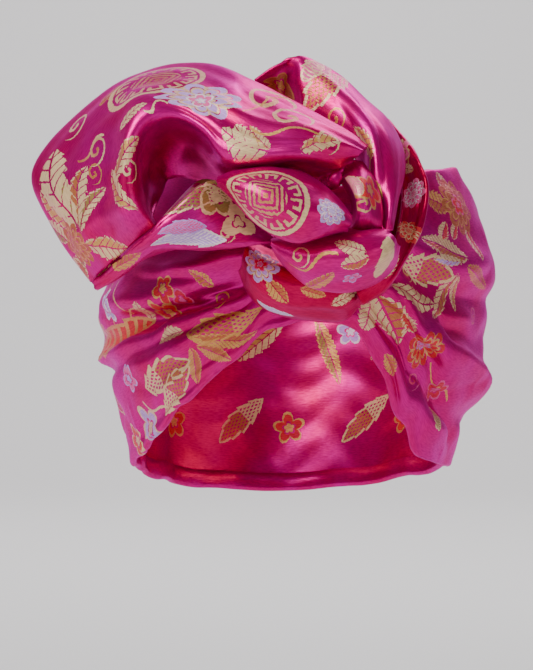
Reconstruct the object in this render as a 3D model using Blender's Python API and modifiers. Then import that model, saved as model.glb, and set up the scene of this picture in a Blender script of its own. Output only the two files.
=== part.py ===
"""Turban headwrap of satin brocade: an open topped band twisted into a large rosette over the forehead.

Metres, Z up. The front faces -Y. The origin is the middle of the head that the band goes round.
"""

import math

import bmesh
import bpy
from mathutils import Vector
from mathutils.bvhtree import BVHTree

# Named sizes
HEAD_WIDTH = 0.156
HEAD_DEPTH = 0.195
CROWN_HEIGHT = 0.088
BAND_HEIGHT = 0.150
KNOT_WIDTH = 0.156
KNOT_HEIGHT = 0.110
KNOT_DEPTH = 0.072
CLOTH = 0.0015
GAP = 0.0004
SLACK = 0.0004

# How far the lower part of the band leans to the photo's left, per metre below the head's middle
LEAN = 0.115

# How far apart the middles of two touching layers lie
LAYER = CLOTH + GAP + SLACK

# A point that lies no further than this behind another sheet is laid in front of it
REACH = 0.006

# The band round the head. turn: degrees from the front towards the photo's right.
# top and hem: shares of BAND_HEIGHT above the head's middle. puff: share of HEAD_WIDTH off the head.
BAND = (
    ("turn", "top", "hem", "puff"),
    (0, 0.255, -0.085, 0.040),
    (14, 0.275, -0.100, 0.038),
    (24, 0.290, -0.200, 0.036),
    (36, 0.310, -0.360, 0.034),
    (50, 0.328, -0.480, 0.038),
    (70, 0.348, -0.505, 0.042),
    (90, 0.353, -0.520, 0.036),
    (120, 0.340, -0.565, 0.032),
    (150, 0.330, -0.610, 0.030),
    (180, 0.330, -0.630, 0.030),
    (210, 0.330, -0.615, 0.030),
    (240, 0.335, -0.575, 0.042),
    (270, 0.345, -0.520, 0.060),
    (290, 0.340, -0.480, 0.054),
    (308, 0.328, -0.410, 0.042),
    (324, 0.310, -0.310, 0.036),
    (338, 0.290, -0.220, 0.036),
    (350, 0.270, -0.110, 0.038),
    (360, 0.255, -0.085, 0.040),
)

# Folds of the band. They run from (turn, drop) to (turn, drop), where drop is 0 at the top and 1 at the hem.
# lift: share of HEAD_WIDTH, below 0 for a crease. wide: share of the band's own height there.
BAND_FOLDS = (
    ("turn", "drop", "end_turn", "end_drop", "lift", "wide"),
    (6, 0.62, 98, 0.76, 0.042, 0.075),
    (14, 0.80, 96, 0.88, -0.018, 0.060),
    (10, 0.92, 62, 0.93, 0.022, 0.060),
    (8, 0.30, 96, 0.36, 0.016, 0.090),
    (352, 0.55, 262, 0.64, -0.030, 0.060),
    (352, 0.42, 262, 0.50, 0.040, 0.085),
    (350, 0.75, 275, 0.80, 0.014, 0.080),
    (322, 0.98, 225, 0.98, -0.046, 0.240),
    (120, 0.40, 240, 0.44, 0.014, 0.100),
    (110, 0.64, 250, 0.60, 0.012, 0.080),
)

# Sections of the left lobe, from its end at the right over the top and round its open mouth.
# across: share of KNOT_WIDTH, up: of KNOT_HEIGHT, out: of KNOT_DEPTH before the forehead.
# roll, dip and flank stand off the line from rim to edge; valley_at says where the dip lies along it.
BIG_LOOP = (
    ("rim_across", "rim_up", "rim_out", "edge_across", "edge_up", "edge_out", "throat_across",
     "throat_up", "throat_out", "back_across", "back_up", "back_out", "valley_at", "roll", "dip", "flank"),
    (0.109, 0.435, 0.646, 0.145, 0.484, 0.590, 0.105, 0.433, 0.604, 0.152, 0.491, 0.507, 0.483, 0.054, 0.082, 0.067),
    (0.065, 0.419, 0.743, 0.105, 0.539, 0.549, 0.066, 0.375, 0.612, 0.105, 0.537, 0.382, 0.416, 0.066, 0.095, 0.090),
    (-0.015, 0.437, 0.826, -0.013, 0.630, 0.465, -0.012, 0.330, 0.535, -0.012, 0.622, 0.299, 0.347, 0.087, 0.139, 0.145),
    (-0.126, 0.425, 0.854, -0.138, 0.737, 0.326, -0.117, 0.330, 0.460, -0.133, 0.711, 0.160, 0.268, 0.089, 0.155, 0.148),
    (-0.206, 0.429, 0.840, -0.210, 0.791, 0.188, -0.215, 0.366, 0.312, -0.212, 0.742, -0.076, 0.340, 0.133, 0.208, 0.214),
    (-0.255, 0.512, 0.799, -0.300, 0.815, 0.104, -0.294, 0.388, 0.146, -0.283, 0.738, -0.243, 0.306, 0.116, 0.185, 0.186),
    (-0.313, 0.570, 0.757, -0.390, 0.808, 0.049, -0.326, 0.401, 0.090, -0.354, 0.702, -0.285, 0.343, 0.133, 0.202, 0.183),
    (-0.371, 0.571, 0.743, -0.496, 0.751, 0.007, -0.347, 0.405, 0.076, -0.418, 0.635, -0.299, 0.442, 0.214, 0.270, 0.201),
    (-0.413, 0.511, 0.743, -0.606, 0.625, 0.007, -0.363, 0.398, 0.076, -0.482, 0.549, -0.271, 0.340, 0.206, 0.153, 0.138),
    (-0.427, 0.422, 0.757, -0.690, 0.502, 0.007, -0.368, 0.383, 0.090, -0.529, 0.449, -0.243, 0.267, 0.170, 0.047, 0.075),
    (-0.427, 0.327, 0.771, -0.722, 0.382, 0.007, -0.378, 0.352, 0.118, -0.539, 0.342, -0.215, 0.292, 0.155, 0.028, 0.071),
    (-0.412, 0.249, 0.771, -0.662, 0.214, 0.062, -0.396, 0.296, 0.229, -0.527, 0.226, -0.160, 0.409, 0.162, 0.067, 0.133),
    (-0.388, 0.201, 0.743, -0.560, 0.016, 0.160, -0.399, 0.231, 0.451, -0.487, 0.090, -0.076, 0.458, 0.066, 0.030, 0.060),
)

# The other folds of the rosette. Each section goes from a top edge to a low edge and bulges between them.
# tuck_top and tuck_low: how far the cloth goes back behind each edge, as shares of KNOT_DEPTH.
FOLD_COLUMNS = ("top_across", "top_up", "top_out", "low_across", "low_up", "low_out", "bulge",
                "tuck_top", "tuck_low")

LOOP_LIP = (
    FOLD_COLUMNS,
    (-0.554, 0.018, 0.229, -0.549, -0.012, 0.229, 0.014, 0.083, 0.111),
    (-0.485, 0.083, 0.465, -0.465, 0.047, 0.451, 0.021, 0.181, 0.222),
    (-0.419, 0.152, 0.701, -0.400, 0.108, 0.632, 0.049, 0.444, 0.347),
    (-0.375, 0.211, 0.757, -0.342, 0.128, 0.674, 0.056, 0.556, 0.444),
    (-0.338, 0.260, 0.771, -0.272, 0.127, 0.701, 0.035, 0.569, 0.500),
    (-0.298, 0.313, 0.757, -0.207, 0.131, 0.688, 0.021, 0.528, 0.486),
    (-0.259, 0.351, 0.688, -0.137, 0.143, 0.646, -0.007, 0.375, 0.361),
    (-0.218, 0.356, 0.562, -0.082, 0.152, 0.590, -0.028, 0.111, 0.222),
)

PEAK_FOLD = (
    FOLD_COLUMNS,
    (-0.136, 0.756, 0.049, -0.091, 0.670, -0.132, 0.007, -0.042, 0.000),
    (-0.081, 0.806, 0.076, -0.043, 0.653, -0.215, -0.035, -0.042, 0.000),
    (-0.026, 0.844, 0.118, -0.013, 0.610, 0.132, 0.035, 0.042, 0.000),
    (0.029, 0.821, 0.076, 0.028, 0.571, 0.160, 0.125, 0.181, 0.000),
    (0.080, 0.780, 0.021, 0.080, 0.532, 0.201, 0.201, 0.264, 0.000),
    (0.154, 0.697, -0.021, 0.120, 0.471, 0.257, 0.306, 0.222, 0.000),
    (0.208, 0.624, 0.021, 0.134, 0.401, 0.340, 0.312, 0.153, 0.000),
    (0.242, 0.514, 0.132, 0.150, 0.325, 0.438, 0.264, 0.125, 0.000),
    (0.243, 0.396, 0.299, 0.172, 0.261, 0.521, 0.194, 0.111, 0.000),
    (0.223, 0.280, 0.479, 0.185, 0.212, 0.604, 0.118, 0.083, 0.000),
    (0.207, 0.190, 0.632, 0.192, 0.175, 0.646, 0.035, 0.042, 0.000),
)

OUTER_SWIRL = (
    FOLD_COLUMNS,
    (0.184, 0.659, -0.326, 0.222, 0.636, -0.326, 0.014, 0.000, 0.194),
    (0.214, 0.562, -0.229, 0.261, 0.545, -0.104, 0.007, 0.000, 0.333),
    (0.238, 0.466, -0.104, 0.291, 0.465, 0.076, 0.007, 0.000, 0.431),
    (0.248, 0.360, 0.090, 0.312, 0.372, 0.160, -0.021, 0.000, 0.431),
    (0.241, 0.269, 0.271, 0.304, 0.267, 0.229, -0.062, 0.000, 0.444),
    (0.224, 0.177, 0.451, 0.276, 0.158, 0.326, -0.021, 0.000, 0.458),
    (0.206, 0.108, 0.479, 0.243, 0.076, 0.410, 0.007, 0.000, 0.403),
    (0.168, 0.036, 0.438, 0.199, -0.014, 0.424, 0.035, 0.000, 0.167),
    (0.119, -0.013, 0.354, 0.139, -0.068, 0.340, 0.035, 0.000, 0.069),
)

INNER_SWIRL = (
    FOLD_COLUMNS,
    (0.045, 0.404, 0.535, 0.102, 0.454, 0.451, 0.042, 0.069, 0.000),
    (0.086, 0.374, 0.660, 0.147, 0.434, 0.507, 0.076, 0.208, 0.000),
    (0.114, 0.327, 0.771, 0.168, 0.385, 0.562, 0.090, 0.347, 0.000),
    (0.126, 0.269, 0.799, 0.182, 0.297, 0.618, 0.062, 0.375, 0.000),
    (0.119, 0.217, 0.771, 0.189, 0.228, 0.660, 0.042, 0.264, 0.000),
    (0.103, 0.185, 0.688, 0.194, 0.182, 0.632, 0.028, 0.097, 0.000),
)

BOTTOM_ROLL = (
    FOLD_COLUMNS,
    (-0.097, 0.153, 0.674, -0.089, 0.127, 0.715, 0.035, 0.000, 0.097),
    (-0.062, 0.167, 0.674, -0.057, 0.057, 0.688, 0.118, 0.000, 0.236),
    (-0.014, 0.181, 0.701, -0.009, -0.003, 0.688, 0.174, 0.000, 0.292),
    (0.035, 0.194, 0.729, 0.041, -0.024, 0.674, 0.208, 0.000, 0.306),
    (0.090, 0.194, 0.743, 0.104, -0.024, 0.660, 0.208, 0.000, 0.292),
    (0.142, 0.190, 0.757, 0.172, 0.008, 0.632, 0.188, 0.000, 0.222),
    (0.177, 0.186, 0.757, 0.215, 0.065, 0.632, 0.132, 0.000, 0.139),
    (0.197, 0.183, 0.743, 0.224, 0.132, 0.674, 0.049, 0.000, 0.083),
)

CENTRE_ROLL = (
    FOLD_COLUMNS,
    (-0.228, 0.368, 0.799, -0.228, 0.345, 0.826, 0.042, 0.042, 0.056),
    (-0.186, 0.392, 0.812, -0.190, 0.294, 0.896, 0.111, 0.111, 0.139),
    (-0.129, 0.410, 0.799, -0.146, 0.230, 0.938, 0.167, 0.153, 0.194),
    (-0.072, 0.407, 0.785, -0.092, 0.174, 0.951, 0.208, 0.139, 0.194),
    (-0.015, 0.386, 0.771, -0.031, 0.142, 0.979, 0.201, 0.111, 0.194),
    (0.035, 0.344, 0.771, 0.015, 0.152, 0.979, 0.160, 0.097, 0.167),
    (0.077, 0.284, 0.785, 0.060, 0.174, 0.938, 0.118, 0.083, 0.125),
    (0.103, 0.226, 0.840, 0.093, 0.186, 0.882, 0.035, 0.056, 0.056),
)

KNOT_WRAP = (
    FOLD_COLUMNS,
    (-0.153, 0.170, 0.285, -0.174, 0.053, 0.299, 0.104, 0.000, 0.264),
    (-0.122, 0.140, 0.312, -0.153, -0.031, 0.299, 0.174, 0.000, 0.264),
    (-0.081, 0.111, 0.326, -0.112, -0.089, 0.285, 0.201, 0.000, 0.250),
    (-0.035, 0.082, 0.312, -0.045, -0.118, 0.257, 0.208, 0.000, 0.222),
    (0.032, 0.068, 0.285, 0.033, -0.125, 0.229, 0.208, 0.000, 0.194),
    (0.095, 0.054, 0.243, 0.098, -0.122, 0.201, 0.174, 0.000, 0.167),
    (0.142, 0.033, 0.188, 0.142, -0.063, 0.188, 0.069, 0.000, 0.153),
)

# Cells along and across each sheet
CELLS = {
    "head_band": (62, 12),
    "knot_wrap": (16, 10),
    "outer_swirl": (22, 10),
    "peak_fold": (24, 10),
    "inner_swirl": (14, 9),
    "big_loop": (32, 16),
    "loop_lip": (18, 12),
    "bottom_roll": (18, 11),
    "centre_roll": (18, 14),
}

# Base colours, seen through the weave
MAGENTA = (0.80, 0.008, 0.36, 1.0)
CRIMSON = (0.62, 0.004, 0.16, 1.0)

# The rosette's sheets in the order in which they are laid, from the forehead outwards
SHEETS = (
    ("name", "table", "draw_top", "draw_low", "colour"),
    ("knot_wrap", KNOT_WRAP, 0.0, 1.1, CRIMSON),
    ("outer_swirl", OUTER_SWIRL, 0.0, 0.6, CRIMSON),
    ("peak_fold", PEAK_FOLD, 0.8, 0.0, MAGENTA),
    ("inner_swirl", INNER_SWIRL, -0.6, 0.0, MAGENTA),
    ("big_loop", BIG_LOOP, 0.0, 0.0, MAGENTA),
    ("loop_lip", LOOP_LIP, -0.32, 0.8, MAGENTA),
    ("bottom_roll", BOTTOM_ROLL, 0.0, 1.2, MAGENTA),
    ("centre_roll", CENTRE_ROLL, 1.6, 1.6, MAGENTA),
)


def rows_of(table):
    """The table's rows as dictionaries, one value for each named column."""
    names = table[0]
    return [dict(zip(names, row)) for row in table[1:]]


def cubic(a, b, c, d, t):
    """A smooth curve through b and c, shaped by its neighbours a and d."""
    return 0.5 * (2 * b + (c - a) * t + (2 * a - 5 * b + 4 * c - d) * t * t
                  + (3 * b - a - 3 * c + d) * t * t * t)


def along(values, t):
    """The value at share t of a row of evenly spaced values."""
    last = len(values) - 1
    place = min(max(t, 0.0), 1.0) * last
    i = min(int(place), last - 1)
    before = values[i - 1] if i else values[0] * 2 - values[1]
    after = values[i + 2] if i + 2 <= last else values[last] * 2 - values[last - 1]
    return cubic(before, values[i], values[i + 1], after, place - i)


def knot_point(across, up, out):
    """A place in the rosette, from its shares of the knot's sizes."""
    return Vector((across * KNOT_WIDTH, -(HEAD_DEPTH / 2 + out * KNOT_DEPTH), up * KNOT_HEIGHT))


def forward(share):
    """A step towards the viewer, as a share of KNOT_DEPTH."""
    return Vector((0, -share * KNOT_DEPTH, 0))


def behind(front, back):
    """A point on the way from a front edge to a back one, which goes back first and inwards after."""
    return Vector((front.x * 0.7 + back.x * 0.3, front.y * 0.4 + back.y * 0.6, front.z * 0.7 + back.z * 0.3))


def fold_section(row, draw_top, draw_low):
    """The points that one section of a plain fold passes through, from edge to edge.

    draw_top and draw_low: how far a tucked edge is drawn in behind the fold, as shares of the section's own span
    for each KNOT_DEPTH of tuck.
    """
    top = knot_point(row["top_across"], row["top_up"], row["top_out"])
    low = knot_point(row["low_across"], row["low_up"], row["low_out"])
    span = low - top
    points = []
    if row["tuck_top"]:
        points += [top + (span * draw_top * share - forward(depth)) * row["tuck_top"]
                   for share, depth in ((1.0, 1.0), (0.3, 0.62))]
    points += [top]
    points += [top + span * t + forward(row["bulge"] * lift)
               for t, lift in ((0.22, 0.72), (0.5, 1.0), (0.78, 0.72))]
    points += [low]
    if row["tuck_low"]:
        points += [low - (span * draw_low * share + forward(depth)) * row["tuck_low"]
                   for share, depth in ((0.3, 0.62), (1.0, 1.0))]
    return points


def loop_section(row):
    """The points that one section of the lobe passes through: throat, rim, roll, valley, flank, edge, back."""
    rim = knot_point(row["rim_across"], row["rim_up"], row["rim_out"])
    edge = knot_point(row["edge_across"], row["edge_up"], row["edge_out"])
    throat = knot_point(row["throat_across"], row["throat_up"], row["throat_out"])
    back = knot_point(row["back_across"], row["back_up"], row["back_out"])
    span = edge - rim
    valley = row["valley_at"]
    return [throat, behind(rim, throat), rim,
            rim + span * valley * 0.5 + forward(row["roll"]),
            rim + span * valley + forward(row["dip"]),
            rim + span * (valley + 1) / 2 + forward(row["flank"]),
            edge, behind(edge, back), back]


def sheet_points(sections, cells):
    """A grid of points over a sheet: a row of points for each step along it."""
    steps, widths = cells
    grid = []
    for i in range(steps + 1):
        rails = [along([s[k] for s in sections], i / steps) for k in range(len(sections[0]))]
        grid.append([along(rails, j / widths) for j in range(widths + 1)])
    return grid


def head_share(up):
    """How wide the head is at a height, as a share of its widest."""
    if up > 0:
        return math.sqrt(max(1 - (up / CROWN_HEIGHT) ** 2, 0.05))
    return 1 - 0.17 * (up / CROWN_HEIGHT) ** 2


def at_turn(rows, name, turn):
    """A column of the band's table at a turn, eased between its rows."""
    turn = turn % 360
    for a, b in zip(rows, rows[1:]):
        if turn <= b["turn"]:
            t = (turn - a["turn"]) / (b["turn"] - a["turn"])
            t = t * t * (3 - 2 * t)
            return a[name] + (b[name] - a[name]) * t
    return rows[-1][name]


def fold_lift(folds, turn, drop):
    """How far all of the band's folds lift the cloth there."""
    total = 0.0
    for fold in folds:
        reach = fold["end_turn"] - fold["turn"]
        s = (turn - fold["turn"]) / reach
        if 0 <= s <= 1:
            middle = fold["drop"] + (fold["end_drop"] - fold["drop"]) * s
            taper = math.sin(math.pi * min(s * 1.6, 0.5)) * math.sin(math.pi * min((1 - s) * 2.4, 0.5))
            total += fold["lift"] * taper * math.exp(-((drop - middle) / fold["wide"]) ** 2)
    return total


def band_point(rows, folds, turn, drop):
    """A place on the band, from its turn round the head and its share from top to hem."""
    top = at_turn(rows, "top", turn) * BAND_HEIGHT
    hem = at_turn(rows, "hem", turn) * BAND_HEIGHT
    up = top + (hem - top) * drop
    puff = at_turn(rows, "puff", turn) * (1 - 0.55 * drop) + fold_lift(folds, turn % 360, drop)
    wide = HEAD_WIDTH / 2 * head_share(up) + puff * HEAD_WIDTH
    deep = HEAD_DEPTH / 2 * head_share(up) + puff * HEAD_WIDTH
    angle = math.radians(turn)
    lean = LEAN * min(up, 0.0) * (1 - 0.4 * math.sin(angle))
    return Vector((lean + wide * math.sin(angle), -deep * math.cos(angle), up))


def band_points(cells):
    """The ring of points round the head, without its last row, which is its first."""
    rows, folds = rows_of(BAND), rows_of(BAND_FOLDS)
    steps, widths = cells
    return [[band_point(rows, folds, 360 * i / steps, j / widths) for j in range(widths + 1)]
            for i in range(steps)]


def faces_of(grid, ring):
    """The quads between the grid's points, counted row by row."""
    wide = len(grid[0])
    steps = len(grid) if ring else len(grid) - 1
    faces = []
    for i in range(steps):
        for j in range(wide - 1):
            a, b = i * wide + j, ((i + 1) % len(grid)) * wide + j
            faces.append((a, b, b + 1, a + 1))
    return faces


def tree_of(grid, ring):
    """A search tree of a sheet's middle surface."""
    points = [p for line in grid for p in line]
    return BVHTree.FromPolygons(points, faces_of(grid, ring), epsilon=0.0)


def softened(steps):
    """Shares each point's step with its neighbours on the sheet, so that the cloth bends and doesn't crease."""
    tall, wide = len(steps), len(steps[0])
    result = []
    for i in range(tall):
        line = []
        for j in range(wide):
            near = [steps[k][m] for k, m in ((i - 1, j), (i + 1, j), (i, j - 1), (i, j + 1))
                    if 0 <= k < tall and 0 <= m < wide]
            mean = sum(near, Vector((0, 0, 0))) / len(near)
            own = steps[i][j]
            line.append(own if own.length > mean.length else own.lerp(mean, 0.6))
        result.append(line)
    return result


def clear_step(p, under):
    """The step that lays one point clear of the sheets under it: forward over a sheet, or off its near face."""
    total = Vector((0, 0, 0))
    for tree in under:
        hit = tree.ray_cast(Vector((p.x, -1.0, p.z)), Vector((0, 1, 0)))
        if hit[0] is not None and 0 <= p.y - hit[0].y < REACH:
            total.y = min(total.y, hit[0].y - LAYER - p.y)
            continue
        near = tree.find_nearest(p, LAYER)
        if near[0] is not None and 1e-6 < near[3] < LAYER - 1e-5:
            total += (p - near[0]).normalized() * (LAYER - near[3])
    if total.length > REACH + LAYER:
        total = total.normalized() * (REACH + LAYER)
    return total


def drape(grid, under, rounds=8):
    """Lays a sheet over the ones under it: each point that is too near or just behind them moves clear."""
    for _ in range(rounds):
        steps = [[clear_step(p, under) for p in line] for line in grid]
        if max(step.length for line in steps for step in line) < 1e-5:
            break
        steps = softened(softened(steps))
        grid = [[p + step * 0.8 for p, step in zip(line, moves)] for line, moves in zip(grid, steps)]
    return grid


def cloth(name, grid, colour, ring=False):
    """A sheet of cloth with a real wall, from its grid of points."""
    mesh = bpy.data.meshes.new(name)
    mesh.from_pydata([tuple(p) for line in grid for p in line], [], faces_of(grid, ring))
    mesh.validate()
    piece = bpy.data.objects.new(name, mesh)
    group = bpy.data.collections.new(name)
    bpy.context.scene.collection.children.link(group)
    group.objects.link(piece)
    bm = bmesh.new()
    bm.from_mesh(mesh)
    bmesh.ops.recalc_face_normals(bm, faces=bm.faces)
    bm.to_mesh(mesh)
    bm.free()
    wall = piece.modifiers.new("wall", "SOLIDIFY")
    wall.thickness = CLOTH
    wall.offset = 0.0
    wall.use_even_offset = True
    wall.use_quality_normals = True
    wall.thickness_clamp = 1.0
    material = bpy.data.materials.new(name + "_satin")
    material.use_nodes = True
    shader = material.node_tree.nodes["Principled BSDF"]
    shader.inputs["Base Color"].default_value = colour
    shader.inputs["Roughness"].default_value = 0.34
    shader.inputs["Metallic"].default_value = 0.0
    mesh.materials.append(material)
    return piece


def build():
    """Makes every piece, from the head outwards, each laid over the ones before it."""
    for old in list(bpy.data.objects):
        bpy.data.objects.remove(old)
    band = band_points(CELLS["head_band"])
    cloth("head_band", band, MAGENTA, ring=True)
    under = [tree_of(band, True)]
    for sheet in rows_of(SHEETS):
        name = sheet["name"]
        rows = rows_of(sheet["table"])
        if name == "big_loop":
            sections = [loop_section(row) for row in rows]
        else:
            sections = [fold_section(row, sheet["draw_top"], sheet["draw_low"]) for row in rows]
        grid = drape(sheet_points(sections, CELLS[name]), under)
        cloth(name, grid, sheet["colour"])
        under.append(tree_of(grid, False))


build()
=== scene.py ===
# %% [markdown]
# # A turban headwrap of magenta brocade
#
# The real thing is one long scarf of satin brocade. It goes round the head, and its ends are twisted
# over the forehead into a large rosette of rolls and lobes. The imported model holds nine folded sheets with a
# plain finish. This lesson lays finer sheets over the same sections, adds gathers, creases and turned hems,
# and weaves the pattern on with shader nodes.
#
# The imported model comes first, because its box says how large the finished cloth may be.

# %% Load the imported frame
import math

import bpy
import numpy as np
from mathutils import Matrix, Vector
from mathutils.bvhtree import BVHTree


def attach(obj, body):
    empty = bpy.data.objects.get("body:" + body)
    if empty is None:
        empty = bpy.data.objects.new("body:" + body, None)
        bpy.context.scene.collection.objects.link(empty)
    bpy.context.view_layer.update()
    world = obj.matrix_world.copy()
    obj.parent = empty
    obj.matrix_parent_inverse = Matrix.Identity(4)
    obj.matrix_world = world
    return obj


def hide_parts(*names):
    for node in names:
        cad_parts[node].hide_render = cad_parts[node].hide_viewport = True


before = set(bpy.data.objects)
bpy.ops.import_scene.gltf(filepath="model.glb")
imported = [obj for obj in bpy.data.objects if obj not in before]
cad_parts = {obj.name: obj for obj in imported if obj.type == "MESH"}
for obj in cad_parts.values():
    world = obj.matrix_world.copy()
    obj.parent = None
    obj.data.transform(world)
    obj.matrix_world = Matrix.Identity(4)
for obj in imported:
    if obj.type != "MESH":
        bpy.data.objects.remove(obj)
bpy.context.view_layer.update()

bpy.ops.object.select_all(action="DESELECT")
print("nodes of the frame:", ", ".join(sorted(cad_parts)))

# %% [markdown]
# ## The camera
#
# The photograph looks level at the forehead from about a metre. The camera looks along +Y from the same place,
# so that a pixel of the photograph can be followed into the scene later, to find which spot of cloth it shows.

# %% Place the camera
PHOTO_WIDE, PHOTO_TALL = 533, 670
PIXEL = 0.00045
DISTANCE = 1.1
CAMERA_AT = Vector((-0.01665, -DISTANCE, -0.02025))
SENSOR = 36.0

camera_data = bpy.data.cameras.new("camera")
camera_data.sensor_fit = "HORIZONTAL"
camera_data.sensor_width = SENSOR
camera_data.lens = SENSOR * DISTANCE / (PIXEL * PHOTO_WIDE)
camera = bpy.data.objects.new("camera", camera_data)
bpy.context.scene.collection.objects.link(camera)
camera.location = CAMERA_AT
camera.rotation_euler = (math.pi / 2, 0.0, 0.0)
bpy.context.scene.camera = camera
print("lens: %.1f mm" % camera_data.lens)

# %% [markdown]
# ## Sizes
#
# The sizes and tables are those of the solids, in metres and in shares of those sizes. The same sections make
# the same folds, so each fine sheet lies where its solid does.

# %% Named sizes
HEAD_WIDTH = 0.156
HEAD_DEPTH = 0.195
CROWN_HEIGHT = 0.088
BAND_HEIGHT = 0.150
KNOT_WIDTH = 0.156
KNOT_HEIGHT = 0.110
KNOT_DEPTH = 0.072
CLOTH = 0.0015
GAP = 0.0004
SLACK = 0.0004

# How far the lower part of the band leans to the photo's left, per metre below the head's middle
LEAN = 0.115

# How far apart the middles of two touching layers lie
LAYER = CLOTH + GAP + SLACK

# A point that lies no further than this behind another sheet is laid in front of it
REACH = 0.006
print("rosette: %.0f x %.0f x %.0f mm" % (KNOT_WIDTH * 1000, KNOT_HEIGHT * 1000, KNOT_DEPTH * 1000))

# %% [markdown]
# The band is the part that holds the wrap on. Its upper and lower edges rise and fall round the head, so a row
# of the table gives both for a turn round it. Its folds fan out from the knot at the forehead.

# %% The band's edges and folds
# The band round the head. turn: degrees from the front towards the photo's right.
# top and hem: shares of BAND_HEIGHT above the head's middle. puff: share of HEAD_WIDTH off the head.
BAND = (
    ("turn", "top", "hem", "puff"),
    (0, 0.255, -0.085, 0.040),
    (14, 0.275, -0.100, 0.038),
    (24, 0.290, -0.200, 0.036),
    (36, 0.310, -0.360, 0.034),
    (50, 0.328, -0.480, 0.038),
    (70, 0.348, -0.505, 0.042),
    (90, 0.353, -0.520, 0.036),
    (120, 0.340, -0.565, 0.032),
    (150, 0.330, -0.610, 0.030),
    (180, 0.330, -0.630, 0.030),
    (210, 0.330, -0.615, 0.030),
    (240, 0.335, -0.575, 0.042),
    (270, 0.345, -0.520, 0.060),
    (290, 0.340, -0.480, 0.054),
    (308, 0.328, -0.410, 0.042),
    (324, 0.310, -0.310, 0.036),
    (338, 0.290, -0.220, 0.036),
    (350, 0.270, -0.110, 0.038),
    (360, 0.255, -0.085, 0.040),
)

# Folds of the band. They run from (turn, drop) to (turn, drop), where drop is 0 at the top and 1 at the hem.
# lift: share of HEAD_WIDTH, below 0 for a crease. wide: share of the band's own height there.
BAND_FOLDS = (
    ("turn", "drop", "end_turn", "end_drop", "lift", "wide"),
    (6, 0.62, 98, 0.76, 0.042, 0.075),
    (14, 0.80, 96, 0.88, -0.018, 0.060),
    (10, 0.92, 62, 0.93, 0.022, 0.060),
    (8, 0.30, 96, 0.36, 0.016, 0.090),
    (352, 0.55, 262, 0.64, -0.030, 0.060),
    (352, 0.42, 262, 0.50, 0.040, 0.085),
    (350, 0.75, 275, 0.80, 0.014, 0.080),
    (322, 0.98, 225, 0.98, -0.046, 0.240),
    (120, 0.40, 240, 0.44, 0.014, 0.100),
    (110, 0.64, 250, 0.60, 0.012, 0.080),
)
print("band: %d sections, %d folds" % (len(BAND) - 1, len(BAND_FOLDS) - 1))

# %% [markdown]
# The big lobe rolls over from the right, stands open to the left and closes again underneath. A fold like that
# is easiest to give section by section, as a dressmaker would pin it.

# %% The big lobe's sections
# Sections of the left lobe, from its end at the right over the top and round its open mouth.
# across: share of KNOT_WIDTH, up: of KNOT_HEIGHT, out: of KNOT_DEPTH before the forehead.
# roll, dip and flank stand off the line from rim to edge; valley_at says where the dip lies along it.
# In the second and third rows the throat hangs 1 to 3 mm lower than the solid's, so that no light shows through.
BIG_LOOP = (
    ("rim_across", "rim_up", "rim_out", "edge_across", "edge_up", "edge_out", "throat_across",
     "throat_up", "throat_out", "back_across", "back_up", "back_out", "valley_at", "roll", "dip", "flank"),
    (0.109, 0.435, 0.646, 0.145, 0.484, 0.590, 0.105, 0.433, 0.604,
     0.152, 0.491, 0.507, 0.483, 0.054, 0.082, 0.067),
    (0.065, 0.419, 0.743, 0.105, 0.539, 0.549, 0.066, 0.350, 0.600,
     0.105, 0.537, 0.382, 0.416, 0.066, 0.095, 0.090),
    (-0.015, 0.437, 0.826, -0.013, 0.630, 0.465, -0.012, 0.318, 0.528,
     -0.012, 0.622, 0.299, 0.347, 0.087, 0.139, 0.145),
    (-0.126, 0.425, 0.854, -0.138, 0.737, 0.326, -0.117, 0.330, 0.460,
     -0.133, 0.711, 0.160, 0.268, 0.089, 0.155, 0.148),
    (-0.206, 0.429, 0.840, -0.210, 0.791, 0.188, -0.215, 0.366, 0.312,
     -0.212, 0.742, -0.076, 0.340, 0.133, 0.208, 0.214),
    (-0.255, 0.512, 0.799, -0.300, 0.815, 0.104, -0.294, 0.388, 0.146,
     -0.283, 0.738, -0.243, 0.306, 0.116, 0.185, 0.186),
    (-0.313, 0.570, 0.757, -0.390, 0.808, 0.049, -0.326, 0.401, 0.090,
     -0.354, 0.702, -0.285, 0.343, 0.133, 0.202, 0.183),
    (-0.371, 0.571, 0.743, -0.496, 0.751, 0.007, -0.347, 0.405, 0.076,
     -0.418, 0.635, -0.299, 0.442, 0.214, 0.270, 0.201),
    (-0.413, 0.511, 0.743, -0.606, 0.625, 0.007, -0.363, 0.398, 0.076,
     -0.482, 0.549, -0.271, 0.340, 0.206, 0.153, 0.138),
    (-0.427, 0.422, 0.757, -0.690, 0.502, 0.007, -0.368, 0.383, 0.090,
     -0.529, 0.449, -0.243, 0.267, 0.170, 0.047, 0.075),
    (-0.427, 0.327, 0.771, -0.722, 0.382, 0.007, -0.378, 0.352, 0.118,
     -0.539, 0.342, -0.215, 0.292, 0.155, 0.028, 0.071),
    (-0.412, 0.249, 0.771, -0.662, 0.214, 0.062, -0.396, 0.296, 0.229,
     -0.527, 0.226, -0.160, 0.409, 0.162, 0.067, 0.133),
    (-0.388, 0.201, 0.743, -0.560, 0.016, 0.160, -0.399, 0.231, 0.451,
     -0.487, 0.090, -0.076, 0.458, 0.066, 0.030, 0.060),
)
print("big lobe: %d sections" % (len(BIG_LOOP) - 1))

# %% [markdown]
# Every other fold of the rosette is plainer: an upper edge, a lower edge, a swell between them, and cloth that
# tucks back behind each edge.

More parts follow.
